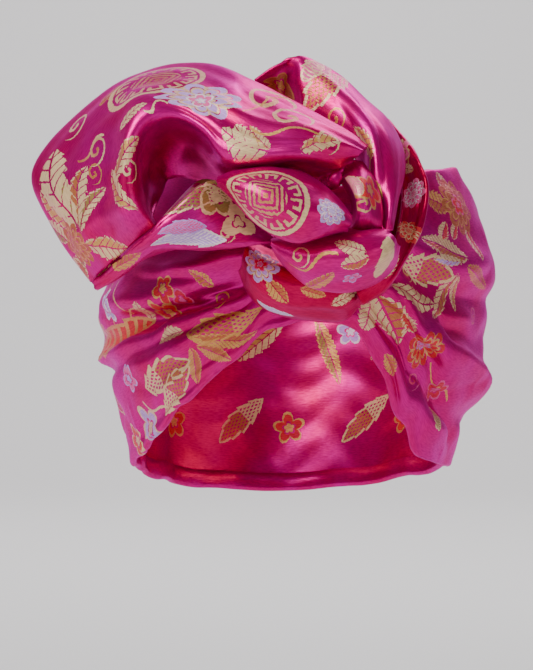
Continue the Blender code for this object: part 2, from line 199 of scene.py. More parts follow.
# %% The other folds' sections
# The other folds of the rosette. Each section goes from a top edge to a low edge and bulges between them.
# tuck_top and tuck_low: how far the cloth goes back behind each edge, as shares of KNOT_DEPTH.
FOLD_COLUMNS = ("top_across", "top_up", "top_out", "low_across", "low_up", "low_out", "bulge",
                "tuck_top", "tuck_low")

LOOP_LIP = (
    FOLD_COLUMNS,
    (-0.554, 0.018, 0.229, -0.549, -0.012, 0.229, 0.014, 0.083, 0.111),
    (-0.485, 0.083, 0.465, -0.465, 0.047, 0.451, 0.021, 0.181, 0.222),
    (-0.419, 0.152, 0.701, -0.400, 0.108, 0.632, 0.049, 0.444, 0.347),
    (-0.375, 0.211, 0.757, -0.342, 0.128, 0.674, 0.056, 0.556, 0.444),
    (-0.338, 0.260, 0.771, -0.272, 0.127, 0.701, 0.035, 0.569, 0.500),
    (-0.298, 0.313, 0.757, -0.207, 0.131, 0.688, 0.021, 0.528, 0.486),
    (-0.259, 0.351, 0.688, -0.137, 0.143, 0.646, -0.007, 0.375, 0.361),
    (-0.218, 0.356, 0.562, -0.082, 0.152, 0.590, -0.028, 0.111, 0.222),
)

PEAK_FOLD = (
    FOLD_COLUMNS,
    (-0.136, 0.756, 0.049, -0.091, 0.670, -0.132, 0.007, -0.042, 0.000),
    (-0.081, 0.806, 0.076, -0.043, 0.653, -0.215, -0.035, -0.042, 0.000),
    (-0.026, 0.844, 0.118, -0.013, 0.610, 0.132, 0.035, 0.042, 0.000),
    (0.029, 0.821, 0.076, 0.028, 0.571, 0.160, 0.125, 0.181, 0.000),
    (0.080, 0.780, 0.021, 0.080, 0.532, 0.201, 0.201, 0.264, 0.000),
    (0.154, 0.697, -0.021, 0.120, 0.471, 0.257, 0.306, 0.222, 0.000),
    (0.208, 0.624, 0.021, 0.134, 0.401, 0.340, 0.312, 0.153, 0.000),
    (0.242, 0.514, 0.132, 0.150, 0.325, 0.438, 0.264, 0.125, 0.000),
    (0.243, 0.396, 0.299, 0.172, 0.261, 0.521, 0.194, 0.111, 0.000),
    (0.223, 0.280, 0.479, 0.185, 0.212, 0.604, 0.118, 0.083, 0.000),
    (0.207, 0.190, 0.632, 0.192, 0.175, 0.646, 0.035, 0.042, 0.000),
)

OUTER_SWIRL = (
    FOLD_COLUMNS,
    (0.184, 0.659, -0.326, 0.222, 0.636, -0.326, 0.014, 0.000, 0.194),
    (0.214, 0.562, -0.229, 0.261, 0.545, -0.104, 0.007, 0.000, 0.333),
    (0.238, 0.466, -0.104, 0.291, 0.465, 0.076, 0.007, 0.000, 0.431),
    (0.248, 0.360, 0.090, 0.312, 0.372, 0.160, -0.021, 0.000, 0.431),
    (0.241, 0.269, 0.271, 0.304, 0.267, 0.229, -0.062, 0.000, 0.444),
    (0.224, 0.177, 0.451, 0.276, 0.158, 0.326, -0.021, 0.000, 0.458),
    (0.206, 0.108, 0.479, 0.243, 0.076, 0.410, 0.007, 0.000, 0.403),
    (0.168, 0.036, 0.438, 0.199, -0.014, 0.424, 0.035, 0.000, 0.167),
    (0.119, -0.013, 0.354, 0.139, -0.068, 0.340, 0.035, 0.000, 0.069),
)

INNER_SWIRL = (
    FOLD_COLUMNS,
    (0.045, 0.404, 0.535, 0.102, 0.454, 0.451, 0.042, 0.069, 0.000),
    (0.086, 0.374, 0.660, 0.147, 0.434, 0.507, 0.076, 0.208, 0.000),
    (0.114, 0.327, 0.771, 0.168, 0.385, 0.562, 0.090, 0.347, 0.000),
    (0.126, 0.269, 0.799, 0.182, 0.297, 0.618, 0.062, 0.375, 0.000),
    (0.119, 0.217, 0.771, 0.189, 0.228, 0.660, 0.042, 0.264, 0.000),
    (0.103, 0.185, 0.688, 0.194, 0.182, 0.632, 0.028, 0.097, 0.000),
)

BOTTOM_ROLL = (
    FOLD_COLUMNS,
    (-0.097, 0.153, 0.674, -0.089, 0.127, 0.715, 0.035, 0.000, 0.097),
    (-0.062, 0.167, 0.674, -0.057, 0.057, 0.688, 0.118, 0.000, 0.236),
    (-0.014, 0.181, 0.701, -0.009, -0.003, 0.688, 0.174, 0.000, 0.292),
    (0.035, 0.194, 0.729, 0.041, -0.024, 0.674, 0.208, 0.000, 0.306),
    (0.090, 0.194, 0.743, 0.104, -0.024, 0.660, 0.208, 0.000, 0.292),
    (0.142, 0.190, 0.757, 0.172, 0.008, 0.632, 0.188, 0.000, 0.222),
    (0.177, 0.186, 0.757, 0.215, 0.065, 0.632, 0.132, 0.000, 0.139),
    (0.197, 0.183, 0.743, 0.224, 0.132, 0.674, 0.049, 0.000, 0.083),
)

CENTRE_ROLL = (
    FOLD_COLUMNS,
    (-0.228, 0.368, 0.799, -0.228, 0.345, 0.826, 0.042, 0.042, 0.056),
    (-0.186, 0.392, 0.812, -0.190, 0.294, 0.896, 0.111, 0.111, 0.139),
    (-0.129, 0.410, 0.799, -0.146, 0.230, 0.938, 0.167, 0.153, 0.194),
    (-0.072, 0.407, 0.785, -0.092, 0.174, 0.951, 0.208, 0.139, 0.194),
    (-0.015, 0.386, 0.771, -0.031, 0.142, 0.979, 0.201, 0.111, 0.194),
    (0.035, 0.344, 0.771, 0.015, 0.152, 0.979, 0.160, 0.097, 0.167),
    (0.077, 0.284, 0.785, 0.060, 0.174, 0.938, 0.118, 0.083, 0.125),
    (0.103, 0.226, 0.840, 0.093, 0.186, 0.882, 0.035, 0.056, 0.056),
)

KNOT_WRAP = (
    FOLD_COLUMNS,
    (-0.153, 0.170, 0.285, -0.174, 0.053, 0.299, 0.104, 0.000, 0.264),
    (-0.122, 0.140, 0.312, -0.153, -0.031, 0.299, 0.174, 0.000, 0.264),
    (-0.081, 0.111, 0.326, -0.112, -0.089, 0.285, 0.201, 0.000, 0.250),
    (-0.035, 0.082, 0.312, -0.045, -0.118, 0.257, 0.208, 0.000, 0.222),
    (0.032, 0.068, 0.285, 0.033, -0.125, 0.229, 0.208, 0.000, 0.194),
    (0.095, 0.054, 0.243, 0.098, -0.122, 0.201, 0.174, 0.000, 0.167),
    (0.142, 0.033, 0.188, 0.142, -0.063, 0.188, 0.069, 0.000, 0.153),
)
print("sections in the last fold: %d" % (len(KNOT_WRAP) - 1))

# %% [markdown]
# Each sheet is laid on the ones before it, so the order of this table is the order of wrapping, from the
# forehead outwards.

# %% The order of laying
# Cells along and across each sheet
CELLS = {
    "head_band": (62, 12),
    "knot_wrap": (16, 10),
    "outer_swirl": (22, 10),
    "peak_fold": (24, 10),
    "inner_swirl": (14, 9),
    "big_loop": (32, 16),
    "loop_lip": (18, 12),
    "bottom_roll": (18, 11),
    "centre_roll": (18, 14),
}
# The rosette's sheets in the order in which they are laid, from the forehead outwards. The two deepest sheets take
# the darker crimson ground, which paints the shade of the deep folds into their colour.
SHEETS = (
    ("name", "table", "draw_top", "draw_low", "ground"),
    ("knot_wrap", KNOT_WRAP, 0.0, 1.1, "crimson"),
    ("outer_swirl", OUTER_SWIRL, 0.0, 0.6, "crimson"),
    ("peak_fold", PEAK_FOLD, 0.8, 0.0, "magenta"),
    ("inner_swirl", INNER_SWIRL, -0.6, 0.0, "magenta"),
    ("big_loop", BIG_LOOP, 0.0, 0.0, "magenta"),
    ("loop_lip", LOOP_LIP, -0.32, 0.8, "magenta"),
    ("bottom_roll", BOTTOM_ROLL, 0.0, 1.2, "magenta"),
    ("centre_roll", CENTRE_ROLL, 1.6, 1.6, "magenta"),
)
print("sheets over the band: %d" % (len(SHEETS) - 1))

# %% [markdown]
# ## From sections to sheets
#
# A smooth curve through the sections' points gives every place on a sheet. Catmull-Rom curves are used, because
# they pass through the points that they are given.

# %% Curves through a table's rows
def rows_of(table):
    """The table's rows as dictionaries, one value for each named column."""
    names = table[0]
    return [dict(zip(names, row)) for row in table[1:]]


def cubic(a, b, c, d, t):
    """A smooth curve through b and c, shaped by its neighbours a and d."""
    return 0.5 * (2 * b + (c - a) * t + (2 * a - 5 * b + 4 * c - d) * t * t
                  + (3 * b - a - 3 * c + d) * t * t * t)


def along(values, t):
    """The value at share t of a row of evenly spaced values."""
    last = len(values) - 1
    place = min(max(t, 0.0), 1.0) * last
    i = min(int(place), last - 1)
    before = values[i - 1] if i else values[0] * 2 - values[1]
    after = values[i + 2] if i + 2 <= last else values[last] * 2 - values[last - 1]
    return cubic(before, values[i], values[i + 1], after, place - i)
print("half way along 0, 1, 4:", round(along([0, 1, 4], 0.5), 3))

# %% Sections of a fold
def knot_point(across, up, out):
    """A place in the rosette, from its shares of the knot's sizes."""
    return Vector((across * KNOT_WIDTH, -(HEAD_DEPTH / 2 + out * KNOT_DEPTH), up * KNOT_HEIGHT))


def forward(share):
    """A step towards the viewer, as a share of KNOT_DEPTH."""
    return Vector((0, -share * KNOT_DEPTH, 0))


def behind(front, back):
    """A point on the way from a front edge to a back one, which goes back first and inwards after."""
    return Vector((front.x * 0.7 + back.x * 0.3, front.y * 0.4 + back.y * 0.6, front.z * 0.7 + back.z * 0.3))


def fold_section(row, draw_top, draw_low):
    """The points that one section of a plain fold passes through, from edge to edge.

    draw_top and draw_low: how far a tucked edge is drawn in behind the fold, as shares of the section's own span
    for each KNOT_DEPTH of tuck.
    """
    top = knot_point(row["top_across"], row["top_up"], row["top_out"])
    low = knot_point(row["low_across"], row["low_up"], row["low_out"])
    span = low - top
    points = []
    if row["tuck_top"]:
        points += [top + (span * draw_top * share - forward(depth)) * row["tuck_top"]
                   for share, depth in ((1.0, 1.0), (0.3, 0.62))]
    points += [top]
    points += [top + span * t + forward(row["bulge"] * lift)
               for t, lift in ((0.22, 0.72), (0.5, 1.0), (0.78, 0.72))]
    points += [low]
    if row["tuck_low"]:
        points += [low - (span * draw_low * share + forward(depth)) * row["tuck_low"]
                   for share, depth in ((0.3, 0.62), (1.0, 1.0))]
    return points


def loop_section(row):
    """The points that one section of the lobe passes through: throat, rim, roll, valley, flank, edge, back."""
    rim = knot_point(row["rim_across"], row["rim_up"], row["rim_out"])
    edge = knot_point(row["edge_across"], row["edge_up"], row["edge_out"])
    throat = knot_point(row["throat_across"], row["throat_up"], row["throat_out"])
    back = knot_point(row["back_across"], row["back_up"], row["back_out"])
    span = edge - rim
    valley = row["valley_at"]
    return [throat, behind(rim, throat), rim,
            rim + span * valley * 0.5 + forward(row["roll"]),
            rim + span * valley + forward(row["dip"]),
            rim + span * (valley + 1) / 2 + forward(row["flank"]),
            edge, behind(edge, back), back]
print("front of the rosette: y = %.3f m" % knot_point(0, 0, 1).y)

# %% A grid of points over a sheet
def sheet_points(sections, cells):
    """A grid of points over a sheet: a row of points for each step along it."""
    steps, widths = cells
    grid = []
    for i in range(steps + 1):
        rails = [along([s[k] for s in sections], i / steps) for k in range(len(sections[0]))]
        grid.append([along(rails, j / widths) for j in range(widths + 1)])
    return grid

# %% [markdown]
# The band follows the head: narrower towards the crown, and a little under the widest place too.

# %% The band's surface
def head_share(up):
    """How wide the head is at a height, as a share of its widest."""
    if up > 0:
        return math.sqrt(max(1 - (up / CROWN_HEIGHT) ** 2, 0.05))
    return 1 - 0.17 * (up / CROWN_HEIGHT) ** 2


def at_turn(rows, name, turn):
    """A column of the band's table at a turn, eased between its rows."""
    turn = turn % 360
    for a, b in zip(rows, rows[1:]):
        if turn <= b["turn"]:
            t = (turn - a["turn"]) / (b["turn"] - a["turn"])
            t = t * t * (3 - 2 * t)
            return a[name] + (b[name] - a[name]) * t
    return rows[-1][name]


def fold_lift(folds, turn, drop):
    """How far all of the band's folds lift the cloth there."""
    total = 0.0
    for fold in folds:
        reach = fold["end_turn"] - fold["turn"]
        s = (turn - fold["turn"]) / reach
        if 0 <= s <= 1:
            middle = fold["drop"] + (fold["end_drop"] - fold["drop"]) * s
            taper = math.sin(math.pi * min(s * 1.6, 0.5)) * math.sin(math.pi * min((1 - s) * 2.4, 0.5))
            total += fold["lift"] * taper * math.exp(-((drop - middle) / fold["wide"]) ** 2)
    return total


def band_point(rows, folds, turn, drop):
    """A place on the band, from its turn round the head and its share from top to hem."""
    top = at_turn(rows, "top", turn) * BAND_HEIGHT
    hem = at_turn(rows, "hem", turn) * BAND_HEIGHT
    up = top + (hem - top) * drop
    puff = at_turn(rows, "puff", turn) * (1 - 0.55 * drop) + fold_lift(folds, turn % 360, drop)
    wide = HEAD_WIDTH / 2 * head_share(up) + puff * HEAD_WIDTH
    deep = HEAD_DEPTH / 2 * head_share(up) + puff * HEAD_WIDTH
    angle = math.radians(turn)
    lean = LEAN * min(up, 0.0) * (1 - 0.4 * math.sin(angle))
    return Vector((lean + wide * math.sin(angle), -deep * math.cos(angle), up))


def band_points(cells):
    """The ring of points round the head, without its last row, which is its first."""
    rows, folds = rows_of(BAND), rows_of(BAND_FOLDS)
    steps, widths = cells
    return [[band_point(rows, folds, 360 * i / steps, j / widths) for j in range(widths + 1)]
            for i in range(steps)]

# %% [markdown]
# Cloth can't pass through cloth. Each sheet is draped over the ones under it: a point that lies too near or
# just behind another sheet steps clear, and its neighbours follow a little, so that no crease forms.

# %% Lay one sheet over others
def faces_of(grid, ring):
    """The quads between the grid's points, counted row by row."""
    wide = len(grid[0])
    steps = len(grid) if ring else len(grid) - 1
    faces = []
    for i in range(steps):
        for j in range(wide - 1):
            a, b = i * wide + j, ((i + 1) % len(grid)) * wide + j
            faces.append((a, b, b + 1, a + 1))
    return faces


def tree_of(grid, ring):
    """A search tree of a sheet's middle surface."""
    points = [p for line in grid for p in line]
    return BVHTree.FromPolygons(points, faces_of(grid, ring), epsilon=0.0)


def softened(steps):
    """Shares each point's step with its neighbours on the sheet, so that the cloth bends and doesn't crease."""
    tall, wide = len(steps), len(steps[0])
    result = []
    for i in range(tall):
        line = []
        for j in range(wide):
            near = [steps[k][m] for k, m in ((i - 1, j), (i + 1, j), (i, j - 1), (i, j + 1))
                    if 0 <= k < tall and 0 <= m < wide]
            mean = sum(near, Vector((0, 0, 0))) / len(near)
            own = steps[i][j]
            line.append(own if own.length > mean.length else own.lerp(mean, 0.6))
        result.append(line)
    return result


def clear_step(p, under):
    """The step that lays one point clear of the sheets under it: forward over a sheet, or off its near face."""
    total = Vector((0, 0, 0))
    for tree in under:
        hit = tree.ray_cast(Vector((p.x, -1.0, p.z)), Vector((0, 1, 0)))
        if hit[0] is not None and 0 <= p.y - hit[0].y < REACH:
            total.y = min(total.y, hit[0].y - LAYER - p.y)
            continue
        near = tree.find_nearest(p, LAYER)
        if near[0] is not None and 1e-6 < near[3] < LAYER - 1e-5:
            total += (p - near[0]).normalized() * (LAYER - near[3])
    if total.length > REACH + LAYER:
        total = total.normalized() * (REACH + LAYER)
    return total


def drape(grid, under, rounds=8):
    """Lays a sheet over the ones under it: each point that is too near or just behind them moves clear."""
    for _ in range(rounds):
        steps = [[clear_step(p, under) for p in line] for line in grid]
        if max(step.length for line in steps for step in line) < 1e-5:
            break
        steps = softened(softened(steps))
        grid = [[p + step * 0.8 for p, step in zip(line, moves)] for line, moves in zip(grid, steps)]
    return grid

# %% [markdown]
# ## Finer cloth
#
# The laid sheets are coarse, like a pattern pinned at a few places. Filling in points on smooth curves gives
# satin its long soft bends. Numpy does this for a whole sheet at once.

# %% Fill in a sheet's points
FINE = 6
BAND_FINE = 7


def filled_in(points, times, ring=False):
    """Points between the rows of a sheet, on smooth curves through them."""
    if ring:
        rows = np.concatenate([points[-1:], points, points[:2]])
        count = len(points)
        place = np.arange(count * times) / times
    else:
        rows = np.concatenate([2 * points[:1] - points[1:2], points, 2 * points[-1:] - points[-2:-1]])
        count = len(points) - 1
        place = np.arange(count * times + 1) / times
    i = np.minimum(place.astype(int), count - 1)
    t = (place - i)[:, None, None]
    return cubic(rows[i], rows[i + 1], rows[i + 2], rows[i + 3], t)


def fine_sheet(grid, times, ring=False):
    """A laid sheet with many more points, as an array of rows of places."""
    points = filled_in(np.array([[tuple(p) for p in line] for line in grid]), times, ring)
    return filled_in(points.swapaxes(0, 1), times).swapaxes(0, 1)


def facing(points, ring=False):
    """The direction that the cloth faces at each point of a sheet."""
    if ring:
        lengthways = np.roll(points, -1, axis=0) - np.roll(points, 1, axis=0)
    else:
        lengthways = np.gradient(points, axis=0)
    normals = np.cross(lengthways, np.gradient(points, axis=1))
    return normals / np.maximum(np.linalg.norm(normals, axis=2, keepdims=True), 1e-9)


# %% [markdown]
# A woven pattern has to know where it is on the flat cloth. Each sheet gets coordinates in metres: how far along
# it and how far across it a point lies, measured over the folds.

# %% Measure the flat cloth
def flat_places(points, ring=False):
    """How far along and across the cloth each point lies, in metres, and the whole way round a ring."""
    ahead = np.roll(points, -1, axis=0) if ring else points[1:]
    steps = np.linalg.norm(ahead - points[:len(ahead)], axis=2).mean(axis=1)
    far = np.concatenate([[0.0], np.cumsum(steps)])
    sides = np.linalg.norm(np.diff(points, axis=1), axis=2).mean(axis=0)
    wide = np.concatenate([[0.0], np.cumsum(sides)])
    along_it = np.repeat(far[:len(points), None], len(wide), axis=1)
    across_it = np.repeat(wide[None, :], len(points), axis=0)
    return np.stack([along_it, across_it], axis=2), far[-1]


# %% [markdown]
# ## Creases and gathers
#
# Between its main folds the satin is full of small pulled creases. They all run to where the cloth is gripped,
# so they are drawn as lines on the photograph: from a pixel, to a pixel, with a height and a width in millimetres.
# A crease stands up where its height is above 0, and is pressed in where it is below. Following each pixel from
# the camera finds the place on the cloth.

# %% Follow a pixel of the photograph to the cloth
def pixel_ray(px, py):
    """The direction from the camera through a pixel of the photograph."""
    return Vector(((px - PHOTO_WIDE / 2) * PIXEL, DISTANCE, (PHOTO_TALL / 2 - py) * PIXEL)).normalized()


SLOPE_CELLS = 3
# A hit further back than this is the far side of the head
FRONT_END = HEAD_DEPTH / 8
# Where along a ray that misses the cloth its nearest place is looked for
PROBES = [DISTANCE + HEAD_DEPTH * (k / 40 - 1) for k in range(46)]


class Sheet:
    """A fine sheet on its way: its points, its flat places and a way to look things up on it."""

    def __init__(self, name, points, ring=False):
        self.name = name
        self.points = points
        self.ring = ring
        self.flat, self.around = flat_places(points, ring)
        self.tree = tree_of([[Vector(p) for p in line] for line in points], ring)

    def flat_at(self, px, py):
        """The flat place of the cloth that the photograph shows at a pixel, or the one nearest to its ray."""
        way = pixel_ray(px, py)
        hit = self.tree.ray_cast(CAMERA_AT, way)
        if hit[2] is None or hit[0].y > FRONT_END:
            hit = min((self.tree.find_nearest(CAMERA_AT + way * far) for far in PROBES),
                      key=lambda near: near[3])
        wide = self.points.shape[1] - 1
        i, j = divmod(hit[2], wide)
        corner = Vector(self.points[i, j])
        ahead = Vector(self.points[(i + 1) % len(self.points), j]) - corner
        aside = Vector(self.points[i, j + 1]) - corner
        off = hit[0] - corner
        s = min(max(off.dot(ahead) / max(ahead.length_squared, 1e-12), 0.0), 1.0)
        t = min(max(off.dot(aside) / max(aside.length_squared, 1e-12), 0.0), 1.0)
        far = self.around if i + 1 == len(self.points) else self.flat[i + 1, j, 0]
        return np.array([self.flat[i, j, 0] + (far - self.flat[i, j, 0]) * s,
                         self.flat[i, j, 1] + (self.flat[i, j + 1, 1] - self.flat[i, j, 1]) * t])

    def square_to(self, place, line):
        """The flat step that lies square to a flat line once the cloth is laid, just as long, and that length."""
        far, wide = self.flat[:, 0, 0], self.flat[0, :, 1]
        i = int(np.clip(np.searchsorted(far, place[0] % self.around), 0, len(far) - 1))
        j = int(np.clip(np.searchsorted(wide, place[1]), 0, len(wide) - 1))
        i0, i1 = max(i - SLOPE_CELLS, 0), min(i + SLOPE_CELLS, len(far) - 1)
        j0, j1 = max(j - SLOPE_CELLS, 0), min(j + SLOPE_CELLS, len(wide) - 1)
        along = (self.points[i1, j] - self.points[i0, j]) / (far[i1] - far[i0])
        aside = (self.points[i, j1] - self.points[i, j0]) / (wide[j1] - wide[j0])
        laid = along * line[0] + aside * line[1]
        long = float(np.linalg.norm(laid))
        square = np.cross(np.cross(along, aside), laid)
        square = square * long / np.linalg.norm(square)
        return np.linalg.lstsq(np.stack([along, aside], axis=1), square, rcond=None)[0], long

    def between(self, a, b):
        """The flat step from a to b, the short way round if the sheet is a ring."""
        step = b - a
        if self.ring:
            step[..., 0] -= self.around * np.round(step[..., 0] / self.around)
        return step


# %% Creases drawn on the photograph
CREASE_COLUMNS = ("px", "py", "to_px", "to_py", "height", "wide")
CREASES = {
    "head_band": (
        # The band, at the photograph's left
        (230, 318, 100, 357, 5.0, 8.0),
        (252, 292, 98, 360, 2.4, 2.8),
        (252, 301, 100, 371, -2.6, 3.2),
        (255, 338, 160, 395, 1.4, 5.0),
        (240, 296, 112, 318, -2.0, 4.0),
        (232, 280, 105, 300, 1.6, 4.5),
        (250, 350, 150, 425, -1.0, 4.0),
        (250, 300, 175, 322, 1.0, 2.4),
        (248, 306, 165, 340, -1.0, 2.2),
        (252, 316, 180, 352, 0.9, 2.4),
        (258, 328, 195, 372, -0.8, 2.4),
        (236, 272, 150, 280, -1.4, 3.0),
        (228, 262, 130, 268, 1.2, 3.0),
        (246, 292, 186, 298, 1.4, 2.2),
        (122, 408, 134, 456, -1.4, 2.2),
        (130, 402, 143, 450, 1.0, 2.2),
        # The band, at the right
        (360, 300, 430, 420, 2.0, 4.5),
        (352, 322, 420, 440, -1.6, 4.0),
        (372, 292, 450, 380, -2.2, 4.5),
        (385, 285, 475, 350, 2.2, 5.5),
        (395, 262, 488, 300, -2.2, 4.5),
        (405, 245, 480, 262, 1.8, 4.5),
        (420, 225, 470, 235, -1.0, 4.5),
        (364, 304, 402, 372, 1.0, 2.4),
        (358, 312, 396, 385, -1.0, 2.2),
        (378, 296, 428, 352, -1.2, 2.6),
        (392, 280, 452, 318, 1.2, 2.8),
        (400, 268, 470, 282, -1.0, 2.6),
        (436, 326, 480, 352, -2.6, 6.0),
        (430, 324, 488, 378, 2.4, 3.0),
        (422, 382, 470, 390, -2.0, 3.2),
        (392, 292, 438, 412, -2.0, 2.8),
        (440, 396, 458, 445, 1.4, 5.0),
    ),
    "big_loop": (
        # The big lobe
        (330, 140, 180, 92, 1.3, 5.0),
        (335, 148, 215, 112, -1.2, 3.6),
        (318, 158, 225, 140, 0.9, 3.4),
        (322, 132, 235, 88, -0.9, 2.8),
        (165, 95, 60, 165, -1.2, 4.5),
        (118, 150, 52, 205, 1.2, 4.5),
        (120, 190, 62, 232, -1.2, 4.0),
        (112, 215, 75, 262, 1.0, 3.6),
        (126, 216, 98, 262, -0.9, 2.8),
        (326, 174, 350, 180, 3.5, 4.0),
    ),
    "peak_fold": (
        # The peak
        (345, 95, 378, 200, 1.1, 2.6),
        (334, 100, 366, 190, -1.1, 2.6),
        (300, 62, 304, 112, 1.0, 2.6),
        (356, 102, 384, 190, -0.9, 2.2),
        (366, 108, 392, 180, 0.7, 2.2),
    ),
    "outer_swirl": (
        # The swirls
        (398, 150, 405, 230, -1.0, 3.2),
        (410, 165, 412, 225, 0.9, 2.6),
    ),
    "inner_swirl": (
        (345, 175, 362, 215, 0.7, 2.6),
    ),
    "loop_lip": (
        # The fold in front of the lobe
        (135, 252, 215, 205, 1.2, 3.4),
        (150, 252, 235, 225, -1.1, 3.2),
        (150, 258, 262, 238, 0.8, 2.8),
    ),
    "centre_roll": (
        # The middle of the rosette
        (225, 186, 330, 196, 0.8, 3.2),
        (240, 205, 335, 222, -0.8, 3.0),
        (236, 218, 326, 234, 0.6, 2.4),
    ),
    "bottom_roll": (
        (278, 250, 385, 250, 0.9, 3.2),
        (290, 270, 385, 262, -0.9, 3.0),
        (284, 242, 388, 238, -0.7, 2.2),
    ),
    "knot_wrap": (
        (250, 262, 355, 296, -1.1, 3.2),
        (256, 282, 345, 306, 0.9, 2.6),
        (254, 250, 350, 284, 0.8, 2.4),
    ),
}


BAND_RUNS_ON = 1.5


def crease_lift(sheet):
    """How far all the creases of a sheet lift each of its points, in metres. The band's run on round the head."""
    lift = np.zeros(sheet.points.shape[:2])
    for crease in rows_of((CREASE_COLUMNS,) + CREASES[sheet.name]):
        start = sheet.flat_at(crease["px"], crease["py"])
        line = sheet.between(start, sheet.flat_at(crease["to_px"], crease["to_py"]))
        line = line * (BAND_RUNS_ON if sheet.ring else 1.0)
        off = sheet.between(start, sheet.flat.copy())
        share = (off @ line) / max(line @ line, 1e-9)
        aside = np.linalg.norm(off - np.clip(share, 0, 1)[..., None] * line, axis=2)
        ends = np.sin(np.pi * np.clip(share, 0, 1)) ** 0.5
        lift += crease["height"] / 1000 * ends * np.exp(-(aside * 1000 / crease["wide"]) ** 2)
    return lift


print("creases: %d" % sum(len(rows) for rows in CREASES.values()))

# %% [markdown]
# Even pulled tight, satin isn't flat. A slow waver of a fraction of a millimetre, longer along the cloth than
# across it, breaks the long highlights as they break in the photograph.

# %% A slow waver
WAVER_HEIGHT = 0.00035
WAVER_LONG = 0.045
WAVER_WIDE = 0.016


def waver(sheet, seed):
    """A slow uneven lift from a few crossing waves."""
    u = sheet.flat[..., 0] / WAVER_LONG
    v = sheet.flat[..., 1] / WAVER_WIDE
    if sheet.ring:
        u = u * round(sheet.around / WAVER_LONG) / (sheet.around / WAVER_LONG)
    turn = 2 * math.pi
    lift = np.sin(turn * (u + 0.31 * seed) + 1.3 * np.sin(turn * v * 0.6 + seed))
    lift = lift + 0.7 * np.sin(turn * (v + 0.17 * seed) + 1.7 * np.sin(turn * u + 2.1 * seed))
    return WAVER_HEIGHT * lift


# %% [markdown]
# The free edges of the band are turned under and stitched from inside. A half circle and a short way back make
# such an edge, which shows as a soft round hem.

# %% Turn an edge under
HEM_ROUND = 0.0011
HEM_BACK = 0.007
HEM_STEPS = 5


def turned_under(points, ring=False):
    """The sheet with both of its long edges turned back behind it."""
    normals = facing(points, ring)
    outwards = np.sign((normals * points)[..., :2].sum())
    rows = []
    for edge, inner in ((0, 1), (-1, -2)):
        on = points[:, edge]
        away = on - points[:, inner]
        away = away / np.linalg.norm(away, axis=1, keepdims=True)
        back = -outwards * normals[:, edge]
        bent = []
        for k in range(1, HEM_STEPS + 1):
            angle = math.pi * k / HEM_STEPS
            bent.append(on + away * HEM_ROUND * math.sin(angle) + back * HEM_ROUND * (1 - math.cos(angle)))
        bent += [bent[-1] - away * HEM_BACK * share for share in (0.35, 1.0)]
        rows.append(np.stack(bent, axis=1))
    return np.concatenate([rows[0][:, ::-1], points, rows[1]], axis=1)


def hem_places(sheet, points):
    """The flat places of a ring with its hems. The cloth between them keeps its own."""
    hem = HEM_STEPS + 2
    flat = flat_places(points, True)[0]
    flat[..., 0] = sheet.flat[:, :1, 0]
    flat[:, :hem, 1] -= flat[0, hem, 1]
    flat[:, -hem:, 1] += sheet.flat[0, -1, 1] - flat[0, -hem - 1, 1]
    flat[:, hem:-hem] = sheet.flat
    return flat


print("turned hems: %.1f mm deep" % (HEM_BACK * 1000))

# %% [markdown]
# A finished sheet is a mesh with a wall. Solidify gives the wall, evenly to both sides of the drawn surface.
# The flat places become the mesh's UV map, in metres.

# %% Make a mesh of a sheet
SATIN_THICK = 0.0011


def cloth_mesh(name, points, flat, around, ring=False):
    """The mesh object of a sheet, with its flat places as a UV map."""
    rows = [[Vector(p) for p in line] for line in points]
    mesh = bpy.data.meshes.new(name)
    mesh.from_pydata([tuple(p) for line in rows for p in line], [], faces_of(rows, ring))
    uvs = mesh.uv_layers.new(name="flat_cloth")
    wide = points.shape[1]
    corner = np.zeros(len(mesh.loops), dtype=np.int32)
    mesh.loops.foreach_get("vertex_index", corner)
    places = flat.reshape(-1, 2)[corner].copy()
    if ring:
        last = np.repeat(np.arange(len(mesh.polygons)) // (wide - 1) == len(points) - 1, 4)
        places[last & (corner < wide), 0] = around
    uvs.data.foreach_set("uv", places.astype(np.float32).ravel())
    mesh.shade_smooth()
    piece = bpy.data.objects.new(name, mesh)
    bpy.context.scene.collection.objects.link(piece)
    return piece


def give_wall(piece):
    """Gives a sheet its thickness and turns its faces outwards."""
    bpy.ops.object.select_all(action="DESELECT")
    piece.select_set(True)
    bpy.context.view_layer.objects.active = piece
    wall = piece.modifiers.new("wall", "SOLIDIFY")
    wall.thickness = SATIN_THICK
    wall.offset = 0.0
    wall.use_quality_normals = True
    bpy.ops.object.modifier_apply(modifier=wall.name)
    print("%s: %d faces" % (piece.name, len(piece.data.polygons)))


# %% [markdown]
# ## Threads
#
# In a shader, a sum is a chain of Math nodes, which is slow to read. A small class wraps a node's output, so that
# a sum can be written as plain Python and the nodes appear by themselves. One method makes any other node.

# %% Write shader sums as Python
def set_stops(ramp, stops):
    """Gives a colour ramp its stops, each a position and a colour."""
    while len(ramp.elements) < len(stops):
        ramp.elements.new(1.0)
    for element, (position, colour) in zip(ramp.elements, stops):
        element.position = position
        element.color = colour


